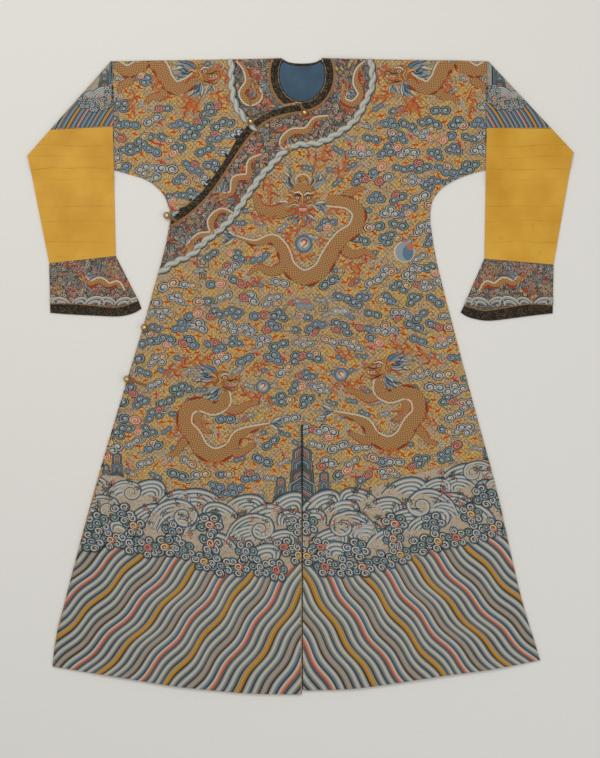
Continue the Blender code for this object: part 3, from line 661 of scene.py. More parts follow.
@joined
def discs(rows, dome):
    """Rounded discs on one another.  Rows: x, d, half width, half height, corners, thread, lift."""
    for x, d, wide, tall, count, name, lift in rows:
        yield patch(ellipse(x, d, wide, tall, 0, 345, count), name, lift, dome)


def strand(points, width, name, lift, spacing, edge=None):
    """A tapering lock, tongue or claw, with a darker edge if one is named."""
    bands = [(name, 1.0)] if edge is None else [(edge, -0.35), (name, 1.0)]
    return ribbon(curve(points, spacing), [width * 0.6, width, width * 0.55, 0.3], bands, lift, 0.2)


def strands(rows, lift, way=1):
    """Strands from rows of points, width, thread and edge, mirrored if way is -1."""
    return [strand([(way * x, d) for x, d in line], width, name, lift, 3, edge)
            for line, width, name, edge in rows]


# ---- small motifs, round their own centre -----------------------------------------------------------------

SQUASH = 0.76
CURL_PLACES = [
    [(0, -6, 10.5), (-9.5, 3, 10.5), (9.5, 3, 10.5)],
    [(-10, 0, 11.5), (10, 0, 11.5)],
    [(1, -7, 9.5), (-15, 1, 9.5), (15, 2, 9.5), (0, 5, 10.5)],
    [(-9, 1, 10.5), (9, -1, 10.0)],
    [(-15, 4, 9.5), (-4, -5, 10.5), (12, -3, 11.0), (7, 8, 9.5)],
]
# Threads of a curl: rim, bright ring, filling, heart.
BLUES = [("navy", "white", "blue", "pale"), ("navy", "pale", "slate", "white"),
         ("ink", "pale", "teal", "cream"), ("navy", "white", "blue", "white"),
         ("ink", "pale", "blue", "pale")]
WARMS = [("navy", "pink", "coral", "red"), ("red", "cream", "pink", "red"),
         ("brown", "cream", "ochre", "yellow"), ("navy", "cream", "coral", "red")]
SPRAYS = [("ink", "white", "blue", "pale"), ("navy", "white", "slate", "blue"),
          ("ink", "pale", "teal", "white")]

# How a curl is filled: discs from the rim inwards, the two sides of the line that winds in, and its reach.
SCROLL_FILL = (((1.0, "rim"), (0.86, "filling")), (("ring", 0.14), ("rim", 1.0)), 0.7)
CLOUD_FILL = (((1.0, "rim"), (0.84, "ring"), (0.7, "filling")), (("rim", -0.3), ("ring", 1.0)), 0.56)
CURL_WIDTHS = np.array([0.2, 0.4, 0.4, 0.34, 0.24])
LAYER = 0.08            # how much higher each disc of a curl lies
TAIL = [(14, 5), (22, 9), (29, 4), (35, 7)]


@joined
def curl(radius, turn, threads, lift, fill=SCROLL_FILL):
    """One curl: discs from its dark rim inwards, and a two-coloured line that winds in to the heart."""
    named = dict(zip(("rim", "ring", "filling", "heart"), threads))
    layers, sides, reach = fill
    for k, (share, name) in enumerate(layers):
        outline = ellipse(0, 0, radius * share, radius * share * SQUASH, 15 * k, 330 + 15 * k, 12)
        yield fan(outline, named[name], lift + LAYER * k, 0.05)
    lift += LAYER * len(layers)
    line = spiral(radius * reach, 1.3, turn, 17, SQUASH)
    yield ribbon(line, CURL_WIDTHS * radius, [(named[name], end) for name, end in sides], lift, 0.06)
    heart = ellipse(0, 0, radius * 0.16, radius * 0.16 * SQUASH, 0, 300, 6)
    yield fan(heart, named["heart"], lift + LAYER, 0.02)


def pick(rng, choices):
    return choices[int(rng.integers(len(choices)))]


@joined
def cloud(kind, rng):
    """A cloud of two to four curls grown into one another, sometimes with a warm one and a short tail."""
    scheme = pick(rng, BLUES)
    warm = int(rng.integers(6))
    for k, (x, d, radius) in enumerate(CURL_PLACES[kind]):
        threads = pick(rng, WARMS) if k == warm else scheme
        one = curl(radius * 1.1, float(rng.integers(1, 6)) * 30, threads, 0.3 + 0.01 * k, CLOUD_FILL)
        yield one.moved(x, d, flip=x < 0)
    if rng.random() < 0.45:
        way = 1 if rng.random() < 0.5 else -1
        tail = curve([(way * x, d) for x, d in TAIL])
        yield ribbon(tail, [5, 5, 1], [("navy", -0.3), ("white", 0.2), ("blue", 1.0)], 0.28, 0.1)


def around(along, aside, angle):
    """A place this far along a ray at an angle, and this far to its side."""
    return along * cos(angle) - aside * sin(angle), along * sin(angle) + aside * cos(angle)


@joined
def sprig(rng):
    """A little four-armed flame sprig on a yellow spot."""
    yield fan(ellipse(0, 0, 8.5, 7.5, 0, 320, 9), "yellow", 0.26, 0.05)
    for k in range(4):
        a = radians(90 * k + 45 + rng.uniform(-18, 18))
        arm = [(0, 0), around(4.4, 1.6, a), around(8.4, -1.5, a)]
        yield strand(arm, 4.0, "red" if k % 2 else "orange", 0.34, 2.8)


def hook(name):
    return strand([(0, 0), (2.5, -1.5), (4.5, 0.3), (3.6, 2.2)], 1.3, name, 0.28, 2.0)


@joined
def bat(body, wing):
    """A small bat with spread scalloped wings."""
    yield patch([(0, -5), (2.2, 0), (0.8, 6), (-0.8, 6), (-2.2, 0)], body, 0.4, 0.2)
    for way in (-1, 1):
        yield strand([(0, 1), (way * 5, -4), (way * 11, -3), (way * 14, 3)], 4.2, wing, 0.33, 3)
        yield strand([(0, 3), (way * 5, 0), (way * 9, 2), (way * 10, 6)], 3.4, body, 0.31, 3)


@joined
def flame(rng):
    """A clump of red fire tongues that sweep forward from a wavy stem."""
    yield strand([(-6, 2), (8, -4), (20, 2), (33, -6), (46, 0)], 5.0, "orange", 0.36, 4, "red")
    for k, (x, d) in enumerate(((0, 0), (8, -3), (15, 1), (23, 0), (31, -5), (37, -4))):
        tip = rng.uniform(9, 15) * (-1 if k % 2 else 1)
        tongue = [(x, d), (x + 1, d + tip * 0.5), (x + 8, d + tip * 0.7), (x + 11, d + tip * 1.2)]
        yield strand(tongue, 4.6, "red" if k % 3 else "orange", 0.42 + 0.02 * k, 3, "orange")


@joined
def fret(name):
    """A small square figure of nested rings."""
    for half in (7.0, 3.4):
        corners = [(-half, -half), (half, -half), (half, half), (-half, half), (-half, -half)]
        for ends in zip(corners, corners[1:]):
            yield ribbon(ends, 1.6, [(name, 1.0)], 0.32, 0.1)


# ---- the sea: stripes, breakers, scrolls and rocks --------------------------------------------------------

# Bands across each stripe: thread and its far edge, from -1 to 1.
PALE_STRIPE = [("ink", -0.68), ("slate", -0.28), ("grey", 0.12), ("white", 0.54), ("pale", 1.0)]
TAUPE_STRIPE = [("ink", -0.7), ("taupe_dark", -0.44), ("taupe", 0.0), ("taupe_light", 0.3), ("grey", 0.72),
                ("taupe", 1.0)]
CORAL_STRIPE = [("ink", -0.72), ("slate", -0.4), ("coral_dark", -0.24), ("coral", 0.16),
                ("coral_light", 0.44), ("white", 0.7), ("grey", 1.0)]
OCHRE_STRIPE = [("ink", -0.72), ("ochre_dark", -0.44), ("ochre", 0.06), ("ochre_light", 0.4), ("ochre", 0.6),
                ("grey", 1.0)]
BLUE_STRIPE = [("ink", -0.68), ("slate", -0.44), ("blue", -0.16), ("pale", 0.2), ("white", 0.62),
               ("grey", 1.0)]
STRIPES = [OCHRE_STRIPE, PALE_STRIPE, PALE_STRIPE, CORAL_STRIPE, BLUE_STRIPE, TAUPE_STRIPE, PALE_STRIPE,
           PALE_STRIPE]
STRIPE_PITCH = 22.0             # along the hem
STRIPE_TOP, STRIPE_FOOT = 1050, 1440
STRIPE_STEP = 5.0
STRIPE_START = {-1: -14, 1: 15}         # where the first stripe of each half meets the hem
STRIPE_WAVE, STRIPE_SWING = 112, 3.3    # length and height of a stripe's waves

FOAM = [("ink", -0.76), ("slate", -0.52), ("blue", -0.34), ("pale", -0.04), ("white", 0.62), ("grey", 1.0)]
FOAM_DOME = 0.22
CREST = np.array([0.6, 1.15, 1.2, 0.8])         # widths of foam bands, in pitches
BACK = np.array([0.6, 1.15, 0.5])
WOUND = np.array([0.6, 1.25, 1.25, 1.1, 0.7])
SWEEP = np.array([(-2.9, 0.7), (-2.4, -0.3), (-1.5, -1.0), (-0.4, -1.2), (0.7, -0.8)])

ROCK_TONES = ["slate", "pale", "teal", "taupe", "blue", "grey", "slate", "teal"]
ROPE_BANDS = [("ink", -0.84), ("slate", -0.6), ("pale", -0.25), ("white", 0.6), ("pale", 0.86),
              ("slate", 1.0)]


def mirrored(bands):
    """The same bands from the other edge."""
    starts = [-1.0] + [edge for _, edge in bands[:-1]]
    return [(name, -start) for (name, _), start in zip(bands, starts)][::-1]


def stripe_slope(x):
    """Sideways run of a stripe for each millimetre down, more at the side than at the seam."""
    return np.interp(x, (0, 480), (0.57, 1.02))


@joined
def stripes(first, last, side):
    """Standing water: wavy stripes that run down and out.  side is -1 for the left half."""
    down = np.arange(STRIPE_FOOT, STRIPE_TOP - 1, -STRIPE_STEP)
    for k in range(first, last):
        bands = STRIPES[k % len(STRIPES)]
        x = [k * STRIPE_PITCH + STRIPE_START[side]]
        for _ in down[1:]:
            x.append(x[-1] - stripe_slope(x[-1]) * STRIPE_STEP)
        x = np.array(x)
        line = np.column_stack([x, down])
        phase = TAU * (0.62 * x + 0.78 * down) / STRIPE_WAVE + 0.9 * sin(0.4 * k)
        line = line + normals(line) * (STRIPE_SWING * np.sin(phase))[:, None]
        line[:, 0] *= side
        width = STRIPE_PITCH / np.hypot(1, stripe_slope(x)) + 0.5
        yield ribbon(line, width, bands if side > 0 else mirrored(bands), 0.25, 0.55)


@joined
def breaker(radius, arcs, lift):
    """A breaking wave: nested foam bands that lean to the right."""
    pitch = radius * 0.94 / arcs
    dome = np.vstack([arch(radius, 0.86, 182, 356, 12), [(0, radius * 0.3)]])
    yield fan(dome, "bed", lift - 0.02, 0.0)
    for k in range(arcs):
        line = arch(radius - k * pitch, 0.86, 182 + 5 * k, 356 - 5 * k, 14, k * pitch * 0.35)
        yield ribbon(line, CREST * pitch, FOAM, lift + 0.02 * (arcs - k), FOAM_DOME)


@joined
def billow(radius, backs, lift):
    """A big wave that sweeps up from the left and winds into a curl, with its back in parallel bands."""
    pitch = radius * 0.3
    sweep = curve(SWEEP * radius, 5)
    way = normals(sweep)
    yield fan(np.vstack([sweep, [(0, radius), (-2.2 * radius, radius)]]), "bed", lift, 0.0)
    for k in range(backs, 0, -1):
        back = (sweep + way * pitch * k)[:-1 - k]
        yield ribbon(back, BACK * pitch, FOAM, lift + 0.02 + 0.02 * (backs - k), FOAM_DOME)
    yield fan(ellipse(0, 0, radius * 1.05, radius * 0.95, 0, 340, 14), "bed", lift + 0.3, 0.0)
    angle, share = np.arange(-0.3, 8.4, 0.55), np.linspace(1, 0.14, 16)
    wound = np.column_stack([share * np.cos(angle), 0.9 * share * np.sin(angle)]) * radius
    yield ribbon(curve(np.vstack([sweep[::3], wound])), WOUND * pitch, FOAM, lift + 0.32, FOAM_DOME)


@joined
def scrolls(rng, warm, lift):
    """A bunch of spray scrolls round a middle one, which is warm for the first four numbers."""
    count = int(rng.integers(5, 7))
    for k in range(count):
        a = TAU * k / count + rng.uniform(-0.15, 0.15)
        one = curl(rng.uniform(12.2, 13.6), degrees(a) + 120, SPRAYS[k % 3], lift + 0.2 * (k % 2))
        yield one.moved(20 * cos(a), 17 * sin(a), flip=bool(k % 2))
    yield curl(13, 40, WARMS[warm] if warm < 4 else BLUES[warm % 5], lift + 0.45)


@joined
def rock(width, height, tiers):
    """A mountain on d = 0: peaks in front of one another, each of thin nested roofs."""
    step = 2.4 + width / 36
    for tier in range(tiers):
        half = width / 2 * (0.66 + 0.34 * tier / (tiers - 1))
        top = -height * (1 - 0.82 * tier / tiers)
        for k in range(int(half / step)):
            reach, peak = half - (k + 0.5) * step, top + (k + 0.5) * step * 1.15
            eaves = peak + reach * 0.6
            roof = [(-reach * 1.08, 0), (-reach, eaves), (0, peak), (reach, eaves), (reach * 1.08, 0)]
            name = "coral" if k == 2 and tier % 2 == 0 else ROCK_TONES[(k + 3 * tier) % 8]
            lift = 0.3 + 0.22 * tier + 0.02 * k
            yield ribbon(bent(roof), step * 1.15, [("ink", -0.45), (name, 1.0)], lift, 0.0)


@joined
def rope(points):
    """The twisted wave border that edges the facing."""
    line = curve(points, 25.0)
    lens = curve([(-21, 4.5), (-10, -0.5), (0, 0), (10, 0.5), (21, -4.5)], 3.5)
    crest = ribbon(lens, [2, 13, 17, 13, 2], ROPE_BANDS, 1.0, 0.9)
    for k, (place, side) in enumerate(zip(line, normals(line))):
        turn = degrees(atan2(-side[0], side[1])) + 16
        yield crest.moved(*place, turn=turn, lift=0.16 * (k % 2))


# ---- dragons ----------------------------------------------------------------------------------------------

BELLY = [("gold_dark", -0.94), ("scales", -0.35), ("scales", 0.35), ("scales", 0.96), ("gold_dark", 1.0)]
LEG = [("gold_dark", -0.92), ("scales", 0.0), ("scales", 0.78), ("red", 1.0)]
LOCKS = [("white", "slate"), ("slate", "navy"), ("pale", "slate"), ("grey", "slate"), ("blue", "navy")]
CLAWS, CLAW_SPREAD = 5, 38              # talons on a leg, and degrees between them
FACE = [(-30, -16), (-22, -30), (-8, -36), (8, -36), (22, -30), (30, -16), (32, 0), (24, 12), (16, 30),
        (6, 38), (-6, 38), (-16, 30), (-24, 12), (-32, 0)]
SKULL = [(-24, -8), (-16, -19), (-2, -22), (10, -15), (22, -12), (32, -13), (38, -6), (34, 0), (20, 3),
         (8, 8), (-6, 14), (-18, 13), (-25, 4)]
# Hairs, brows, horns and lips: points, width, thread, edge.
FACE_LINES = [
    ([(2, -8), (9, -14), (19, -13), (28, -20)], 6.5, "cream", "brown"),
    ([(4, -5), (12, -9), (20, -7), (25, -10)], 4.0, "gold_dark", "brown"),
    ([(22, -2), (30, -8), (40, -8), (45, -16)], 7.0, "gold_light", "red"),
    ([(10, 8), (17, 4), (24, 8), (26, 16)], 4.5, "gold_light", "brown"),
    ([(7, 17), (20, 13), (34, 19), (42, 10)], 3.4, "white", "slate"),
    ([(16, 24), (24, 22), (30, 28), (40, 26)], 5.0, "red", "orange"),
    ([(10, 33), (18, 32), (24, 38), (30, 36)], 4.5, "red", "orange"),
    ([(18, -28), (27, -40), (22, -52), (30, -64)], 5.5, "gold_light", "gold_dark"),
]
SKULL_LINES = [
    ([(4, 9), (14, 12), (24, 10), (32, 5)], 6.0, "red", "pink"),
    ([(-7, -11), (1, -16), (10, -14), (16, -17)], 5.5, "cream", "brown"),
    ([(-14, 8), (-8, 0), (-12, -10), (-8, -17)], 5.0, "gold_light", "brown"),
    ([(6, -2), (15, -1), (24, -5), (32, -3)], 4.0, "gold_dark", "brown"),
    ([(26, -9), (32, -13), (37, -9), (35, -4)], 4.5, "coral", "red"),
    ([(-12, -17), (-20, -28), (-34, -32), (-42, -40)], 5.5, "gold_light", "gold_dark"),
    ([(-16, -6), (-26, -11), (-34, -6)], 7.0, "gold_light", "red"),
    ([(-20, 4), (-30, 6), (-38, 14), (-48, 12)], 5.0, "red", "orange"),
    ([(34, -7), (41, -14), (38, -23), (45, -29)], 3.4, "white", "slate"),
]


@joined
def dragon_body(points, widths, spine, lift=0.5):
    """A scaled body along a line from the tail.  spine is the side of the cream back fin, -1 or 1."""
    line = curve(points, 5.0)
    run = run_of(line)
    half = np.interp(run / run[-1], np.linspace(0, 1, len(widths)), widths) / 2
    side = normals(line) * spine
    fin = line + side * half[:, None]
    under = line - side * (half - 0.6)[:, None]
    yield ribbon(line, widths, BELLY, lift, 0.9)
    yield ribbon(fin, 3.6, [("cream", 0.3), ("white", 1.0)], lift + 0.5, 0.3)
    for k in range(5, len(line) - 6, 9):
        yield ribbon(under[k:k + 6], [1, 6, 7, 5, 1], [("red", 0.0), ("gold_dark", 1.0)], lift + 0.45, 0.3)
    for k in range(2, len(line) - 2, 2):
        root = line[k] + side[k] * (half[k] + 1)
        tip = line[k - 1] + side[k - 1] * (half[k - 1] + 5.5)
        yield ribbon([root, (root + tip) / 2, tip], [3.0, 2.0, 0.4], [("slate", 1.0)], lift + 0.3, 0)


@joined
def claw_leg(points, width):
    """A scaled leg that ends in five pale claws."""
    line = curve(points, 5)
    end = line[-1]
    ahead = np.degrees(np.arctan2(*(end - line[-2])[::-1]))
    yield ribbon(line, [width, width * 0.9, width * 0.6, 10], LEG, 0.62, 0.6)
    yield patch(ellipse(*end, 7, 6, 0, 330, 10), "gold", 1.0, 0.3)
    for k in range(CLAWS):
        a = radians(ahead + (k - CLAWS // 2) * CLAW_SPREAD)
        talon = [end + around(4, 0, a), end + around(10, 2, a), end + around(14, 6, a)]
        yield strand(talon, 4.0, "white", 1.05, 3, "blue")


def legs(rows):
    return [claw_leg(points, width) for points, width in rows]


@joined
def mane(place, way, count, length, spread, rng, lift=0.7):
    """A sheaf of blue and white locks that streams from a place."""
    for k in range(count):
        a = radians(way + spread * (k / max(1, count - 1) - 0.5))
        reach = length * rng.uniform(0.8, 1.15)
        bow = 0.07 * reach * (1 if k % 2 else -1)
        lock = [(0.0, 0.0), around(0.4 * reach, bow, a), around(0.75 * reach, -bow, a), around(reach, 0, a)]
        name, edge = LOCKS[k % 5]
        yield strand(lock, 0.16 * length, name, lift + 0.03 * k, 5, edge).moved(*place)


@joined
def eye(x, d, lift):
    """An eye in its brown socket."""
    yield fan(ellipse(x, d, 6, 4.6, 0, 330, 10), "brown", lift, 0.1)
    for wide, tall, end, count, name, rise, dome in ((4.2, 3.3, 330, 10, "white", 0.15, 0.3),
                                                     (2.4, 2.4, 300, 8, "coral", 0.35, 0.1),
                                                     (1.5, 1.5, 300, 6, "ink", 0.5, 0.1)):
        yield patch(ellipse(x, d, wide, tall, 0, end, count), name, lift + rise, dome)


def teeth(places, d, lift):
    return [patch([(x - 1.8, d), (x + 1.8, d), (x, d + 5)], "white", lift, 0.1) for x in places]


@joined
def front_head(rng):
    """A dragon's face from the front, about 80 mm across, round the point between its eyes."""
    yield patch(ellipse(0, -40, 18, 17, 180, 360, 9), "cream", 0.9, 0.3)
    yield patch(ellipse(0, -40, 15.5, 14, 180, 360, 9), "gold", 1.2, 0.3)
    for way in (-1, 1):
        yield mane((way * 16, -20), 270 + way * 33, 9, 54, 50, rng, 0.6)
        yield mane((way * 24, 14), 90 - way * 78, 6, 40, 60, rng, 0.62)
        yield mane((way * 6, 34), 90 - way * 34, 5, 34, 60, rng, 0.64)
    yield patch(FACE, "gold", 1.3, 0.9)
    yield patch(ellipse(0, -22, 20, 11, 0, 340, 14), "scales", 2.1, 0.3)
    for way in (-1, 1):
        yield from strands(FACE_LINES, 2.4, way)
        yield eye(way * 12.5, -2, 2.3)
        yield patch(ellipse(way * 5, 14, 4.6, 3.8, 0, 320, 9), "coral", 2.5, 0.4)
        yield fan(ellipse(way * 5, 15, 1.6, 1.3, 0, 300, 6), "ink", 3.0, 0.05)
    yield strand([(0, -12), (0, -2), (0, 6), (0, 13)], 7.0, "gold_light", 2.4, 3, "gold_dark")
    yield patch(ellipse(0, 25, 13, 6.5, 0, 330, 14), "red", 2.5, 0.2)
    yield patch(ellipse(0, 25, 10, 4.2, 0, 330, 14), "pink", 2.75, 0.2)
    yield from teeth((-7, -2.5, 2.5, 7), 21, 3.05)


@joined
def side_head(rng):
    """A dragon's head from the side, facing right, about 66 mm long, round its eye."""
    yield mane((-14, -8), 190, 10, 58, 60, rng, 0.5)
    yield mane((-8, 14), 122, 8, 44, 66, rng, 0.52)
    yield mane((14, 18), 100, 6, 26, 60, rng, 0.54)
    yield strand([(-10, 11), (6, 18), (20, 20), (31, 13)], 9, "gold", 1.0, 4, "brown")
    yield patch(SKULL, "gold", 1.1, 0.9)
    yield from strands(SKULL_LINES, 2.0)
    yield eye(2, -7, 2.1)
    yield from teeth((13, 19, 25), 3.5, 2.4)


@joined
def pearl():
    """The flaming pearl: ringed in slate blue, with a red swirl."""
    yield discs([(0, 0, 20, 20, 24, "slate", 0.9), (0, 0, 17.5, 17.5, 24, "blue", 1.15),
                 (0, 0, 14, 14, 24, "pale", 1.4), (0.5, -1, 9, 10, 20, "cream", 1.65)], 0.3)
    yield strand([(-6, -4), (-2, -9), (5, -8), (6, -2), (0, 4), (-4, 9), (3, 12)], 4.4, "red", 2.0, 3)


# ---- laying the stitches on the cloth ---------------------------------------------------------------------

class Cloth:
    """Every dressed piece in one tree, to find the top layer over a place."""

    def __init__(self, pieces):
        points, faces = [], []
        self.names, self.ends = list(pieces), []
        for piece in pieces.values():
            start = len(points)
            points.extend(vertex.co.copy() for vertex in piece.data.vertices)
            faces.extend([start + i for i in face.vertices] for face in piece.data.polygons)
            self.ends.append(len(faces))
        self.tree = BVHTree.FromPolygons(points, faces)

    def top(self, x, d):
        """The name of the uppermost piece over a place, and its height."""
        place, _, face, _ = self.tree.ray_cast(at(x, d, RAY_START), Vector((0, 0, -1)))
        if face is None:
            return "", 0.0
        return self.names[bisect.bisect_right(self.ends, face)], place.z * 1000


HALVINGS = 7


def edge_of(look, near, far):
    """The last place of the cloth on the way from one on it to one off it, and its height there or None."""
    height = None
    for _ in range(HALVINGS):
        middle = (near + far) / 2
        found, z = look(*middle)
        if found:
            near, height = middle, z
        else:
            far = middle
    return near, height


def sew(cloth, name, shape, on, lowest=FRONT_LEAF):
    """Drop a shape on the named pieces, cut off at their edges."""
    def look(x, d):
        piece, z = cloth.top(x, d)
        return piece in on and z >= lowest, z

    flat = shape.points[:, :2].copy()
    inside, height = map(np.array, zip(*(look(x, d) for x, d in flat)))
    pairs = np.vstack([shape.faces[:, [k, (k + 1) % 4]] for k in range(4)])
    pairs = np.vstack([pairs, pairs[:, ::-1]])
    kept = inside.copy()
    for stays, leaves in pairs[inside[pairs[:, 0]] & ~inside[pairs[:, 1]]]:
        if not kept[leaves]:
            flat[leaves], z = edge_of(look, flat[stays], flat[leaves])
            height[leaves] = height[stays] if z is None else z
            kept[leaves] = True
    whole = kept[shape.faces].all(axis=1) & inside[shape.faces].any(axis=1)
    used, faces = np.unique(shape.faces[whole], return_inverse=True)
    world = np.column_stack([SEAM_X + flat[used, 0], SHOULDER_Y - flat[used, 1],
                             height[used] + shape.points[used, 2]]) / 1000
    piece = link(name, stitch_mesh(name, world, faces.reshape(-1, 4), shape.threads[whole], shape.uv[used]))
    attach(piece, "root")


def stitch_mesh(name, world, faces, threads, uv):
    """The mesh of laid stitches, every face turned up, one material for each thread."""
    a, b, c, e = (world[faces[:, k]] for k in range(4))
    up = np.cross(c - a, e - b)[:, 2]
    good = np.abs(up) > 1e-9
    faces, threads, down = faces[good], threads[good], up[good] < 0
    three = faces[:, 2] == faces[:, 3]
    for turned, order in ((down & ~three, [0, 3, 2, 1]), (down & three, [1, 0, 2, 3])):
        faces[turned] = faces[turned][:, order]
    corners = np.ones(faces.shape, bool)
    corners[three, 3] = False
    loops, sizes = faces[corners], corners.sum(axis=1)
    dyes, slots = np.unique(threads, return_inverse=True)
    mesh = bpy.data.meshes.new(name)
    mesh.vertices.add(len(world))
    mesh.loops.add(len(loops))
    mesh.polygons.add(len(faces))
    mesh.vertices.foreach_set("co", world.ravel())
    mesh.loops.foreach_set("vertex_index", loops)
    mesh.polygons.foreach_set("loop_start", np.concatenate([[0], np.cumsum(sizes)[:-1]]))
    mesh.polygons.foreach_set("material_index", slots.ravel())
    mesh.uv_layers.new(name="thread").data.foreach_set("uv", uv[loops].ravel())
    for dye in dyes:
        mesh.materials.append(FLOSS[THREAD_NAMES[dye]])
    mesh.update(calc_edges=True)
    mesh.validate()
    mesh.shade_smooth()
    return mesh


class Worked:
    """A grid of the places that already carry stitches."""

    CELL = 4.0
    START_X, START_D, SIZE = -660, -60, (330, 400)

    def __init__(self):
        self.grid = np.zeros(self.SIZE, bool)

    def cells(self, x, d):
        column = ((np.asarray(x) - self.START_X) / self.CELL).astype(int)
        return column, ((np.asarray(d) - self.START_D) / self.CELL).astype(int)

    def mark(self, shape, margin):
        fresh = np.zeros_like(self.grid)
        fresh[self.cells(shape.points[:, 0], shape.points[:, 1])] = True
        for _ in range(int(margin / self.CELL)):
            grown = fresh.copy()
            for axis in (0, 1):
                grown |= np.roll(fresh, 1, axis) | np.roll(fresh, -1, axis)
            fresh = grown
        self.grid |= fresh

    def share(self, x, d, radius):
        """How much of a square round a place is taken."""
        i, j = self.cells(x, d)
        r = max(1, int(radius / self.CELL))
        return self.grid[i - r:i + r + 1, j - r:j + r + 1].mean()


# ---- the layout of the embroidery -------------------------------------------------------------------------

FRONT = ("front_overlap", "body_right", "body_left")

BODY_WIDTHS = [4, 12, 23, 29, 33, 36, 36, 34, 32, 31, 28, 26]
CHEST_BODY = [(-148, 398), (-106, 412), (-66, 404), (-43, 428), (-30, 466), (4, 490), (42, 474), (64, 436),
              (88, 402), (118, 380), (128, 346), (104, 322), (56, 316)]
CHEST_LEGS = [([(-10, 326), (-58, 342), (-92, 334), (-104, 306), (-124, 300)], 38),
              ([(92, 320), (104, 304), (122, 292), (142, 290)], 26),
              ([(-24, 452), (-66, 476), (-98, 466), (-120, 482)], 27),
              ([(72, 412), (112, 438), (142, 432), (166, 446)], 27)]
LOWER_BODY = [(-72, 819), (-99, 826), (-128, 836), (-146, 848), (-162, 876), (-196, 890), (-226, 876),
              (-244, 846), (-264, 820), (-258, 786), (-230, 774), (-198, 784), (-174, 770), (-176, 748)]
LOWER_LEGS = [([(-228, 776), (-236, 806), (-224, 830), (-202, 838)], 25),
              ([(-170, 862), (-148, 884), (-124, 876), (-104, 862)], 26),
              ([(-240, 842), (-268, 862), (-284, 884), (-304, 890)], 26),
              ([(-190, 770), (-150, 788), (-120, 774), (-94, 770)], 28)]
SHOULDER_BODY = [(-420, 8), (-394, 26), (-368, 16), (-346, -4), (-318, 18), (-306, 44), (-284, 64),
                 (-256, 54), (-236, 38)]
SHOULDER_WIDTHS = [20, 29, 33, 35, 33, 30, 26]
SHOULDER_LEGS = [([(-384, 26), (-390, 48), (-406, 58), (-412, 74)], 26),
                 ([(-300, 62), (-316, 80), (-338, 84), (-352, 98)], 26)]
# Flames round the dragons: x, d, turn, size, and 1 for a mirrored one.
CHEST_FLAMES = [
    (-6, 376, 150, 1.0, 0), (22, 376, 30, 1.0, 1), (-30, 400, 90, 0.8, 0), (42, 400, 70, 0.8, 0),
    (-14, 442, 10, 0.9, 0), (62, 340, -10, 1.0, 0), (-104, 356, 10, 1.0, 0), (-92, 492, 160, 0.9, 0),
    (98, 462, 10, 0.9, 0), (-84, 268, 240, 1.2, 1), (30, 238, -50, 1.3, 0), (-52, 236, 220, 1.2, 0),
    (84, 262, -60, 1.1, 0), (128, 470, 120, 0.8, 0),
]
LOWER_FLAMES = [
    (-306, 706, -20, 1.3, 0), (-246, 680, -10, 1.1, 0), (-112, 696, -20, 0.9, 0), (-96, 766, 20, 1.1, 1),
    (-250, 800, 40, 1.0, 0), (-150, 850, 150, 0.8, 0), (-68, 768, 20, 0.9, 1), (-214, 906, 4, 1.0, 0),
    (-300, 846, -30, 0.8, 0),
]
SHOULDER_FLAMES = [
    (-202, 78, 20, 1.1, 0), (-232, 92, 150, 1.1, 0), (-380, 74, 100, 1.1, 0), (-262, 84, 60, 1.1, 0),
    (-188, 14, 60, 1.1, 0), (-330, 40, 80, 1.1, 0),
]

SEA_TOP = [(-620, 930), (-420, 940), (-330, 962), (-240, 985), (-160, 1000), (-90, 1002), (0, 1000),
           (60, 985), (140, 975), (215, 948), (300, 925), (400, 905), (620, 890)]
SPRAY_FOOT = [(-620, 1076), (-480, 1092), (-370, 1104), (-300, 1112), (-230, 1136), (-150, 1150),
              (-68, 1168), (0, 1126)]
# Waves of the left half: x, d, radius, and how many bands.
HILLS = [(-470, 966, 38, 4), (-356, 984, 40, 4), (-226, 1004, 44, 4), (-132, 1012, 38, 4),
         (-38, 1020, 44, 4), (-414, 986, 34, 3), (-292, 1006, 36, 4), (-178, 1034, 38, 4),
         (-84, 1030, 34, 3), (-10, 1052, 38, 4), (-458, 1014, 36, 4), (-352, 1038, 38, 4),
         (-226, 1062, 40, 4), (-130, 1082, 38, 4), (-56, 1094, 38, 4), (-288, 1058, 34, 3),
         (-500, 1040, 34, 3), (-400, 1062, 34, 3), (-180, 1100, 34, 3), (-92, 1122, 34, 3)]
RIGHT_HILLS = [(-268, 1077, 38, 4), (-333, 1054, 36, 4), (-150, 1083, 34, 3), (-365, 1002, 36, 4),
               (-430, 1021, 34, 3)]
BILLOWS = [(-436, 1010, 24, 3), (-266, 1026, 29, 3), (-92, 1056, 27, 3), (-384, 972, 20, 2)]
SPRAY_ROWS = [(-12, 42), (-40, 84), (-8, 200)]          # first x and gap of each row, upwards
SPRAY_HEARTS = (2, 0, 5, 3, 6, 2, 7)
SHARDS = 70
SEA_RISE = 0.009                # lift for each millimetre nearer to the hem

# Where clouds and sprigs may stand: box, gaps, how far off each may be, and how much every other row shifts.
CLOUD_GRID = ((-590, 590, 10, 1000), (52.0, 33.0), (9, 7), 26)
SPRIG_GRID = ((-580, 580, 8, 1010), (12.0, 12.0), (5, 5))
CROWDED, ROOMY = 0.45, 0.15             # shares of worked ground round a cloud

# Rocks: width, height and tiers, then x and d of the foot.
ROCKS = [((64, 142, 5), (0, 1008)), ((32, 68, 3), (-48, 1004)), ((32, 68, 3), (50, 992)),
         ((32, 76, 3), (-416, 958)), ((22, 50, 3), (-440, 958)), ((36, 78, 3), (422, 926)),
         ((24, 54, 3), (448, 922))]

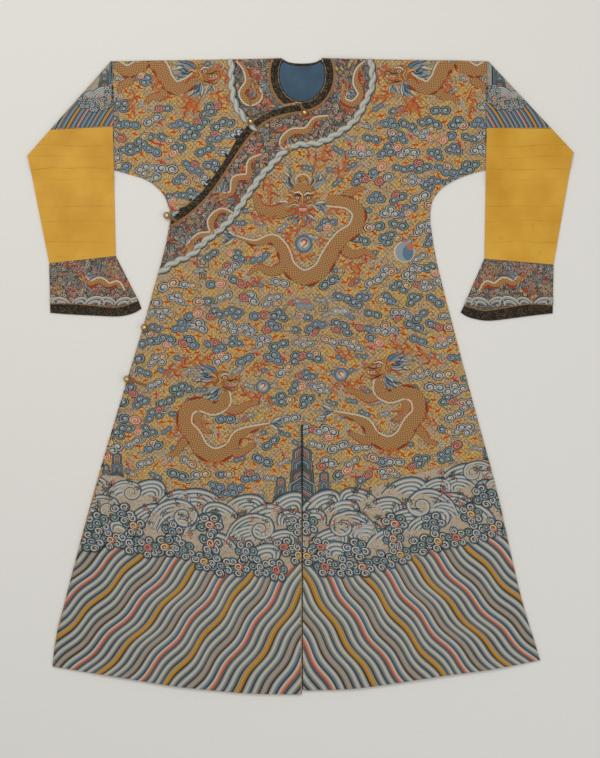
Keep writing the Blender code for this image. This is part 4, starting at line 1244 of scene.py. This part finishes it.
ROPE_LEFT = [(-159, -2), (-158, 30), (-157, 62), (-150, 97), (-131, 127), (-114, 144)]
ROPE_RIGHT = [(155, -2), (158, 30), (157, 62), (136, 106), (119, 136), (80, 166), (37, 187), (-23, 196),
              (-62, 230), (-97, 269), (-127, 312), (-157, 355), (-183, 381), (-221, 411), (-247, 437),
              (-290, 458), (-312, 474)]
FACING_BOXES = [(-165, 160, 0, 200), (-310, -20, 190, 480)]
FACING_DRAGONS = [[(-146, 2), (-128, 20), (-120, 50), (-134, 76), (-118, 96), (-96, 84), (-104, 60)],
                  [(142, 4), (126, 24), (122, 52), (134, 78), (114, 100), (92, 90), (98, 64)],
                  [(60, 128), (30, 136), (10, 160), (-24, 164), (-44, 186), (-30, 206)],
                  [(-90, 214), (-116, 230), (-120, 262), (-150, 270), (-156, 300), (-184, 308)],
                  [(-150, 350), (-180, 340), (-204, 362), (-200, 392), (-232, 398), (-258, 424)]]
SCROLL_THREADS = ("pale", "cream", "white", "slate", "taupe_light", "pink", "grey")
BUD_THREADS = ("coral", "red", "ochre", "pink", "ochre_light")
HOOK_THREADS = ("taupe_dark", "pale", "slate", "cream")
BAT_THREADS = ("red", "coral", "brown")

BAND_SCROLLS = [(-491, 96, 6), (-470, 103, 5), (-449, 100, 2), (-432, 88, 3), (-428, 70, 5)]
BAND_STRIPES = [CORAL_STRIPE, BLUE_STRIPE, OCHRE_STRIPE, BLUE_STRIPE, TAUPE_STRIPE, PALE_STRIPE, BLUE_STRIPE]
BAND_CURVE = [(-12, 184), (-6, 162), (6, 138), (26, 108), (56, 78)]
CUFF_BOXES = [(-580, -380, 440, 560)]
CUFF_DRAGON = [(-400, 520), (-414, 502), (-434, 508), (-454, 496), (-476, 504), (-492, 490)]
CUFF_FLOWERS = [(-556, 476, "slate"), (-528, 492, "slate"), (-500, 470, "coral"), (-462, 474, "slate"),
                (-430, 470, "ochre"), (-548, 516, "ochre"), (-514, 520, "red"), (-416, 486, "coral")]
CUFF_FOAM = [("ink", -0.86), ("white", -0.34), ("pale", 0.05), ("taupe_light", 0.4), ("slate", 1.0)]
CUFF_WAVES = [(-566, 16), (-538, 20), (-502, 17), (-470, 22), (-434, 18), (-404, 20), (-378, 17)]
CUFF_WAVE_WIDTHS = np.array([0.2, 0.5, 0.44, 0.2])


def scattered(rng, box, gap, away, stagger=0):
    """Places in rows over a box (x from and to, d from and to), each a little off its row."""
    x0, x1, d0, d1 = box
    for row, d in enumerate(np.arange(d0, d1, gap[1])):
        for x in np.arange(x0 + stagger * (row % 2), x1, gap[0]):
            yield x + rng.uniform(-away[0], away[0]), d + rng.uniform(-away[1], away[1])


def level(table, x):
    """How far down a line given by a few points lies at x."""
    return np.interp(x, *zip(*table))


def flames(rng, rows):
    return [flame(rng).moved(x, d, size, turn, flip, 0.35) for x, d, turn, size, flip in rows]


@joined
def chest_dragon(rng):
    yield mane((-150, 398), 180, 7, 40, 80, rng)
    yield from legs(CHEST_LEGS)
    yield dragon_body(CHEST_BODY, BODY_WIDTHS, -1)
    yield front_head(rng).moved(2, 313)
    yield pearl().moved(4, 414)
    yield from flames(rng, CHEST_FLAMES)


@joined
def lower_dragon(rng):
    yield mane((-70, 819), 0, 7, 38, 70, rng)
    yield from legs(LOWER_LEGS)
    yield dragon_body(LOWER_BODY, BODY_WIDTHS, 1)
    yield side_head(rng).moved(-176, 722, 1.08, 4)
    yield pearl().moved(-88, 735, 0.8)
    yield from flames(rng, LOWER_FLAMES)


@joined
def shoulder_dragon(rng):
    """The part of a shoulder dragon that lies on the front, for the left shoulder."""
    yield from legs(SHOULDER_LEGS)
    yield dragon_body(SHOULDER_BODY, SHOULDER_WIDTHS, -1)
    yield side_head(rng).moved(-220, 34, 1.1, -4)
    yield from flames(rng, SHOULDER_FLAMES)


def lie(x, d, side):
    """A place of the left half's sea on one half, with the right one's waves standing higher."""
    rise = np.interp(d, (960, 1130), (0.12, 0.035)) if side > 0 else 0.0
    return side * -x, d + rise * x


def sea_lift(base, d):
    """Waves nearer to the hem lie over those behind them."""
    return base + SEA_RISE * (d - 960)


@joined
def sea(rng, side):
    """Breakers and spray of one half, from the back row to the front one."""
    hills = sorted(HILLS + (RIGHT_HILLS if side > 0 else []), key=lambda hill: hill[1])
    for k, (x, d, radius, arcs) in enumerate(hills):
        wave = breaker(radius * 1.06, arcs, sea_lift(0.9, d))
        yield wave.moved(turn=rng.uniform(-14, 14), flip=k % 3 == 0).moved(*lie(x, d, side))
    for x, d, radius, backs in BILLOWS:
        yield billow(radius, backs, sea_lift(1.1, d)).moved(*lie(x, d, side), flip=side > 0)
    for row, (start, gap) in enumerate(SPRAY_ROWS):
        for count, x in enumerate(np.arange(start, -520, -gap)):
            px, pd = x + rng.uniform(-5, 5), level(SPRAY_FOOT, x) - 14 - 36 * row + rng.uniform(-9, 7)
            bunch = scrolls(rng, SPRAY_HEARTS[(count + row) % 7], 2.5 + 0.2 * (count % 3))
            turn = rng.uniform(0, 60)
            yield bunch.moved(*lie(px, pd, side), rng.uniform(0.86, 1.02), turn)
    for _ in range(SHARDS):
        x = rng.uniform(4, 480)
        d = level(SEA_TOP, side * x) + rng.uniform(-10, 90)
        hooks = [hook(name).moved(turn=120 * k) for k, name in enumerate(("brown", "red", "ink"))]
        spike = strand([(0, 0), (3, 3), (7, 2)], 2.4, "coral" if rng.random() < 0.3 else "teal", 0.3, 2)
        yield join(hooks + [spike]).moved(side * x, d, 1.7, rng.uniform(0, 360), lift=2.2)


@joined
def sea_bed(side):
    """Cream couching under the waves, from their tops down to the spray."""
    x = np.arange(0, 561, 8.0)
    top = level(SEA_TOP, side * x) - 4
    foot = level(SPRAY_FOOT, -x) - (0.035 * x if side > 0 else 0) - 8
    for start, end in ((0.0, 0.34), (0.34, 0.67), (0.67, 1.0)):
        middle = top + (foot - top) * (start + end) / 2
        width = (foot - top) * (end - start) + 1.0
        line = np.column_stack([side * x, middle])
        yield ribbon(line, width, [("bed", 0.0), ("bed", 1.0)], 0.82, 0.0)


def clouds_over(worked, rng):
    """Clouds in staggered rows, whole where there is room and small where there is little."""
    clouds = []
    for x, d in scattered(rng, *CLOUD_GRID):
        taken = worked.share(x, d, 16)
        if d > level(SEA_TOP, x) - 20 or taken > CROWDED:
            continue
        roomy = taken < ROOMY
        one = cloud(int(rng.integers(5)) if roomy else 3, rng)
        size = rng.uniform(1.0, 1.2) * (1.0 if roomy else 0.7)
        clouds.append(one.moved(x, d, size, rng.uniform(-40, 30), rng.random() < 0.5))
    for one in clouds:
        worked.mark(one, 0)
    return join(clouds)


@joined
def sprigs_over(worked, rng):
    """Sprigs, bats and hooks in the gaps that are left."""
    for x, d in scattered(rng, *SPRIG_GRID):
        if d > level(SEA_TOP, x) + 4 or worked.share(x, d, 6) > 0.25:
            continue
        chance = rng.random()
        if chance < 0.44:
            one = sprig(rng)
        elif chance < 0.52:
            one = bat("red", "pink")
        else:
            one = hook(pick(rng, HOOK_THREADS))
        one = one.moved(x, d, turn=rng.uniform(0, 90), size=rng.uniform(0.9, 1.15), lift=-0.1)
        worked.mark(one, 4)
        yield one


@joined
def fill_facing(rng, boxes):
    """Small pale scrolls with a few bats and blossoms, thick over dark cloth."""
    for box in boxes:
        for x, d in scattered(rng, box, (11.0, 10.0), (4, 4)):
            chance = rng.random()
            if chance < 0.80:
                bands = [(pick(rng, SCROLL_THREADS), 1.0)]
                one = ribbon(spiral(rng.uniform(4.0, 6.2), 1.25, 0, 9), [1.1, 1.5, 0.9], bands, 0.34, 0.1)
            elif chance < 0.91:
                one = fan(ellipse(0, 0, 4.6, 3.6, 0, 310, 7), pick(rng, BUD_THREADS), 0.36, 0.1)
            else:
                one = bat(pick(rng, BAT_THREADS), "pink").moved(size=0.55)
            yield one.moved(x, d, turn=rng.uniform(0, 360), flip=rng.random() < 0.5)


@joined
def little_dragon(points, rng, widths=(4, 12, 16, 16, 14, 11)):
    """A slim gold dragon with a cream back, for a facing or a cuff."""
    (x0, d0), (x1, d1) = points[-2:]
    way = degrees(atan2(d1 - d0, x1 - x0))
    head = side_head(rng).moved(x1, d1, max(widths) * 0.032, way, lift=0.2)
    for x, d in points[1:-1:2]:
        yield flame(rng).moved(x, d, 0.8, way + 150)
    yield dragon_body(points, widths, 1, 0.7)
    yield head


@joined
def band_work(rng):
    """The water on the left upper sleeve: stripes, spray, one breaker and a rock."""
    yield ribbon([(-600, 70), (-420, 70)], 150, [("taupe", -0.2), ("bed", 1.0)], 0.2, 0.0)
    for k in range(-4, 22):
        line = curve([(x - 432 - 10.4 * k, d) for x, d in BAND_CURVE])
        stripe = ribbon(line, [10.2, 9.8, 8], BAND_STRIPES[k % 7], 0.4, 0.6)
        yield stripe.dyed(white="pale", pale="blue", grey="slate")
    yield rock(26, 48, 3).moved(-444, 66)
    edge = curve([(-429, 4), (-431, 40), (-432, 74)])
    yield ribbon(edge, [5, 9, 10], [("navy", -0.3), ("blue", 0.3), ("teal", 1.0)], 0.6, 0.3)
    yield breaker(22, 4, 0.8).moved(-456, 84, turn=-16)
    yield breaker(15, 3, 0.9).moved(-482, 88, turn=-24)
    for x, d, warm in BAND_SCROLLS:
        yield scrolls(rng, warm, 1.2).moved(x, d, 0.56, rng.uniform(0, 60))


@joined
def cuff_work(rng):
    """Pale scrolls, a dragon and a row of breakers on the left cuff."""
    yield fill_facing(rng, CUFF_BOXES)
    yield little_dragon(CUFF_DRAGON, rng, (4, 10, 14, 14, 11))
    for x, d, name in CUFF_FLOWERS:
        petal = ribbon(spiral(7.5, 1.2, 0, 10), [1.8, 2.4, 1.4], [(name, 0.2), ("grey", 1.0)], 0.8, 0.2)
        for turn in range(0, 360, 72):
            yield petal.moved(8, 0).moved(x, d, turn=turn)
    for k, (x, r) in enumerate(CUFF_WAVES):
        crest = arch(r, 0.9, 190, 350, 12, lean=0.5)
        for share, lift in ((1, 1.4), (0.55, 1.3)):
            wave = ribbon(crest * share, CUFF_WAVE_WIDTHS * r, CUFF_FOAM, lift, 0.5)
            yield wave.moved(x, 552 + 3 * (k % 2), lift=0.2 * (k % 2), flip=k % 3 == 1)


@joined
def omens(rng):
    """The few single figures on the chest: a ringed disc, a fret and grey cloud wisps."""
    yield discs([(0, 0, 24, 24, 24, "cream", 0.4), (1, 0, 21, 22, 24, "pale", 0.62),
                 (8, 2, 12, 17, 20, "blue", 0.9), (13, -12, 8, 8, 14, "coral", 1.1)], 0.2).moved(230, 432)
    yield fret("slate").moved(-223, 454, 1.8)
    yield fret("navy").moved(-223, 486)
    yield fret("slate").moved(48, 556, 1.4)
    for k, place in enumerate(((7, 551), (86, 566))):
        yield cloud(k, rng).dyed(navy="slate", ink="slate", blue="grey", teal="pale").moved(*place)


def sew_sea(cloth, worked, rng):
    for side, name, on in ((-1, "left", "front_overlap"), (1, "right", "body_right")):
        sew(cloth, f"stripes_{name}", stripes(-14, 52, side), (on,))
        # Painted shadow: a dark ink line down each side of the slit, standing in for the shaded gap between
        # the fronts.
        slit_shade_line = ribbon(bent([(side, 820), (side, 1430)], 12), 1.8, [("ink", 1.0)], 2.9, 0.0)
        waves = join([sea_bed(side), sea(rng, side), slit_shade_line])
        worked.mark(waves, 0)
        sew(cloth, f"waves_{name}", waves, (on,))
    sew(cloth, "back_stripes", stripes(21, 52, -1), ("body_left",), BACK_LEAF)


def sew_ground(cloth, worked, rng):
    """Dragons, rocks and the facing's rope first, then clouds and sprigs between them."""
    lower, shoulder = lower_dragon(rng), shoulder_dragon(rng)
    pairs = [lower, lower.moved(0, -27, flip=True), shoulder, shoulder.moved(flip=True)]
    beasts = join([chest_dragon(rng), *pairs, omens(rng)])
    sew(cloth, "dragons", beasts, FRONT)
    rocks = join([rock(*size).moved(*place) for size, place in ROCKS])
    sew(cloth, "rocks_left", rocks, ("front_overlap",))
    sew(cloth, "rocks_right", rocks, ("body_right",))
    ropes = join([rope(ROPE_LEFT), rope(ROPE_RIGHT)])
    for shape, margin in ((beasts, 0), (rocks, 4), (ropes, 4)):
        worked.mark(shape, margin)
    sew(cloth, "facing_rope", ropes, cloth.names)
    clouds, small = clouds_over(worked, rng), sprigs_over(worked, rng)
    sew(cloth, "clouds", clouds, FRONT)
    sew(cloth, "sprigs", small, FRONT)


def sew_facings(cloth, rng):
    work = join([fill_facing(rng, FACING_BOXES)] + [little_dragon(line, rng) for line in FACING_DRAGONS])
    on = ("neck_facing_left", "neck_facing_right", "overlap_facing")
    sew(cloth, "facing_work", work, on)
    for side, flip in (("left", False), ("right", True)):
        on = (f"{side}_sleeve_band_back", f"{side}_sleeve_band_front")
        sew(cloth, f"{side}_band_work", band_work(rng).moved(flip=flip), on, BACK_LEAF)
        on = (f"{side}_cuff_back", f"{side}_cuff_front")
        sew(cloth, f"{side}_cuff_work", cuff_work(rng).moved(flip=flip), on, BACK_LEAF)


def embroider(cloth):
    rng, worked = np.random.default_rng(SEED), Worked()
    sew_sea(cloth, worked, rng)
    sew_ground(cloth, worked, rng)
    sew_facings(cloth, rng)


add_camera()
add_studio()
FINISHES = finishes()
FLOSS = {name: thread(name) for name in THREADS}
embroider(Cloth(dress_robe()))
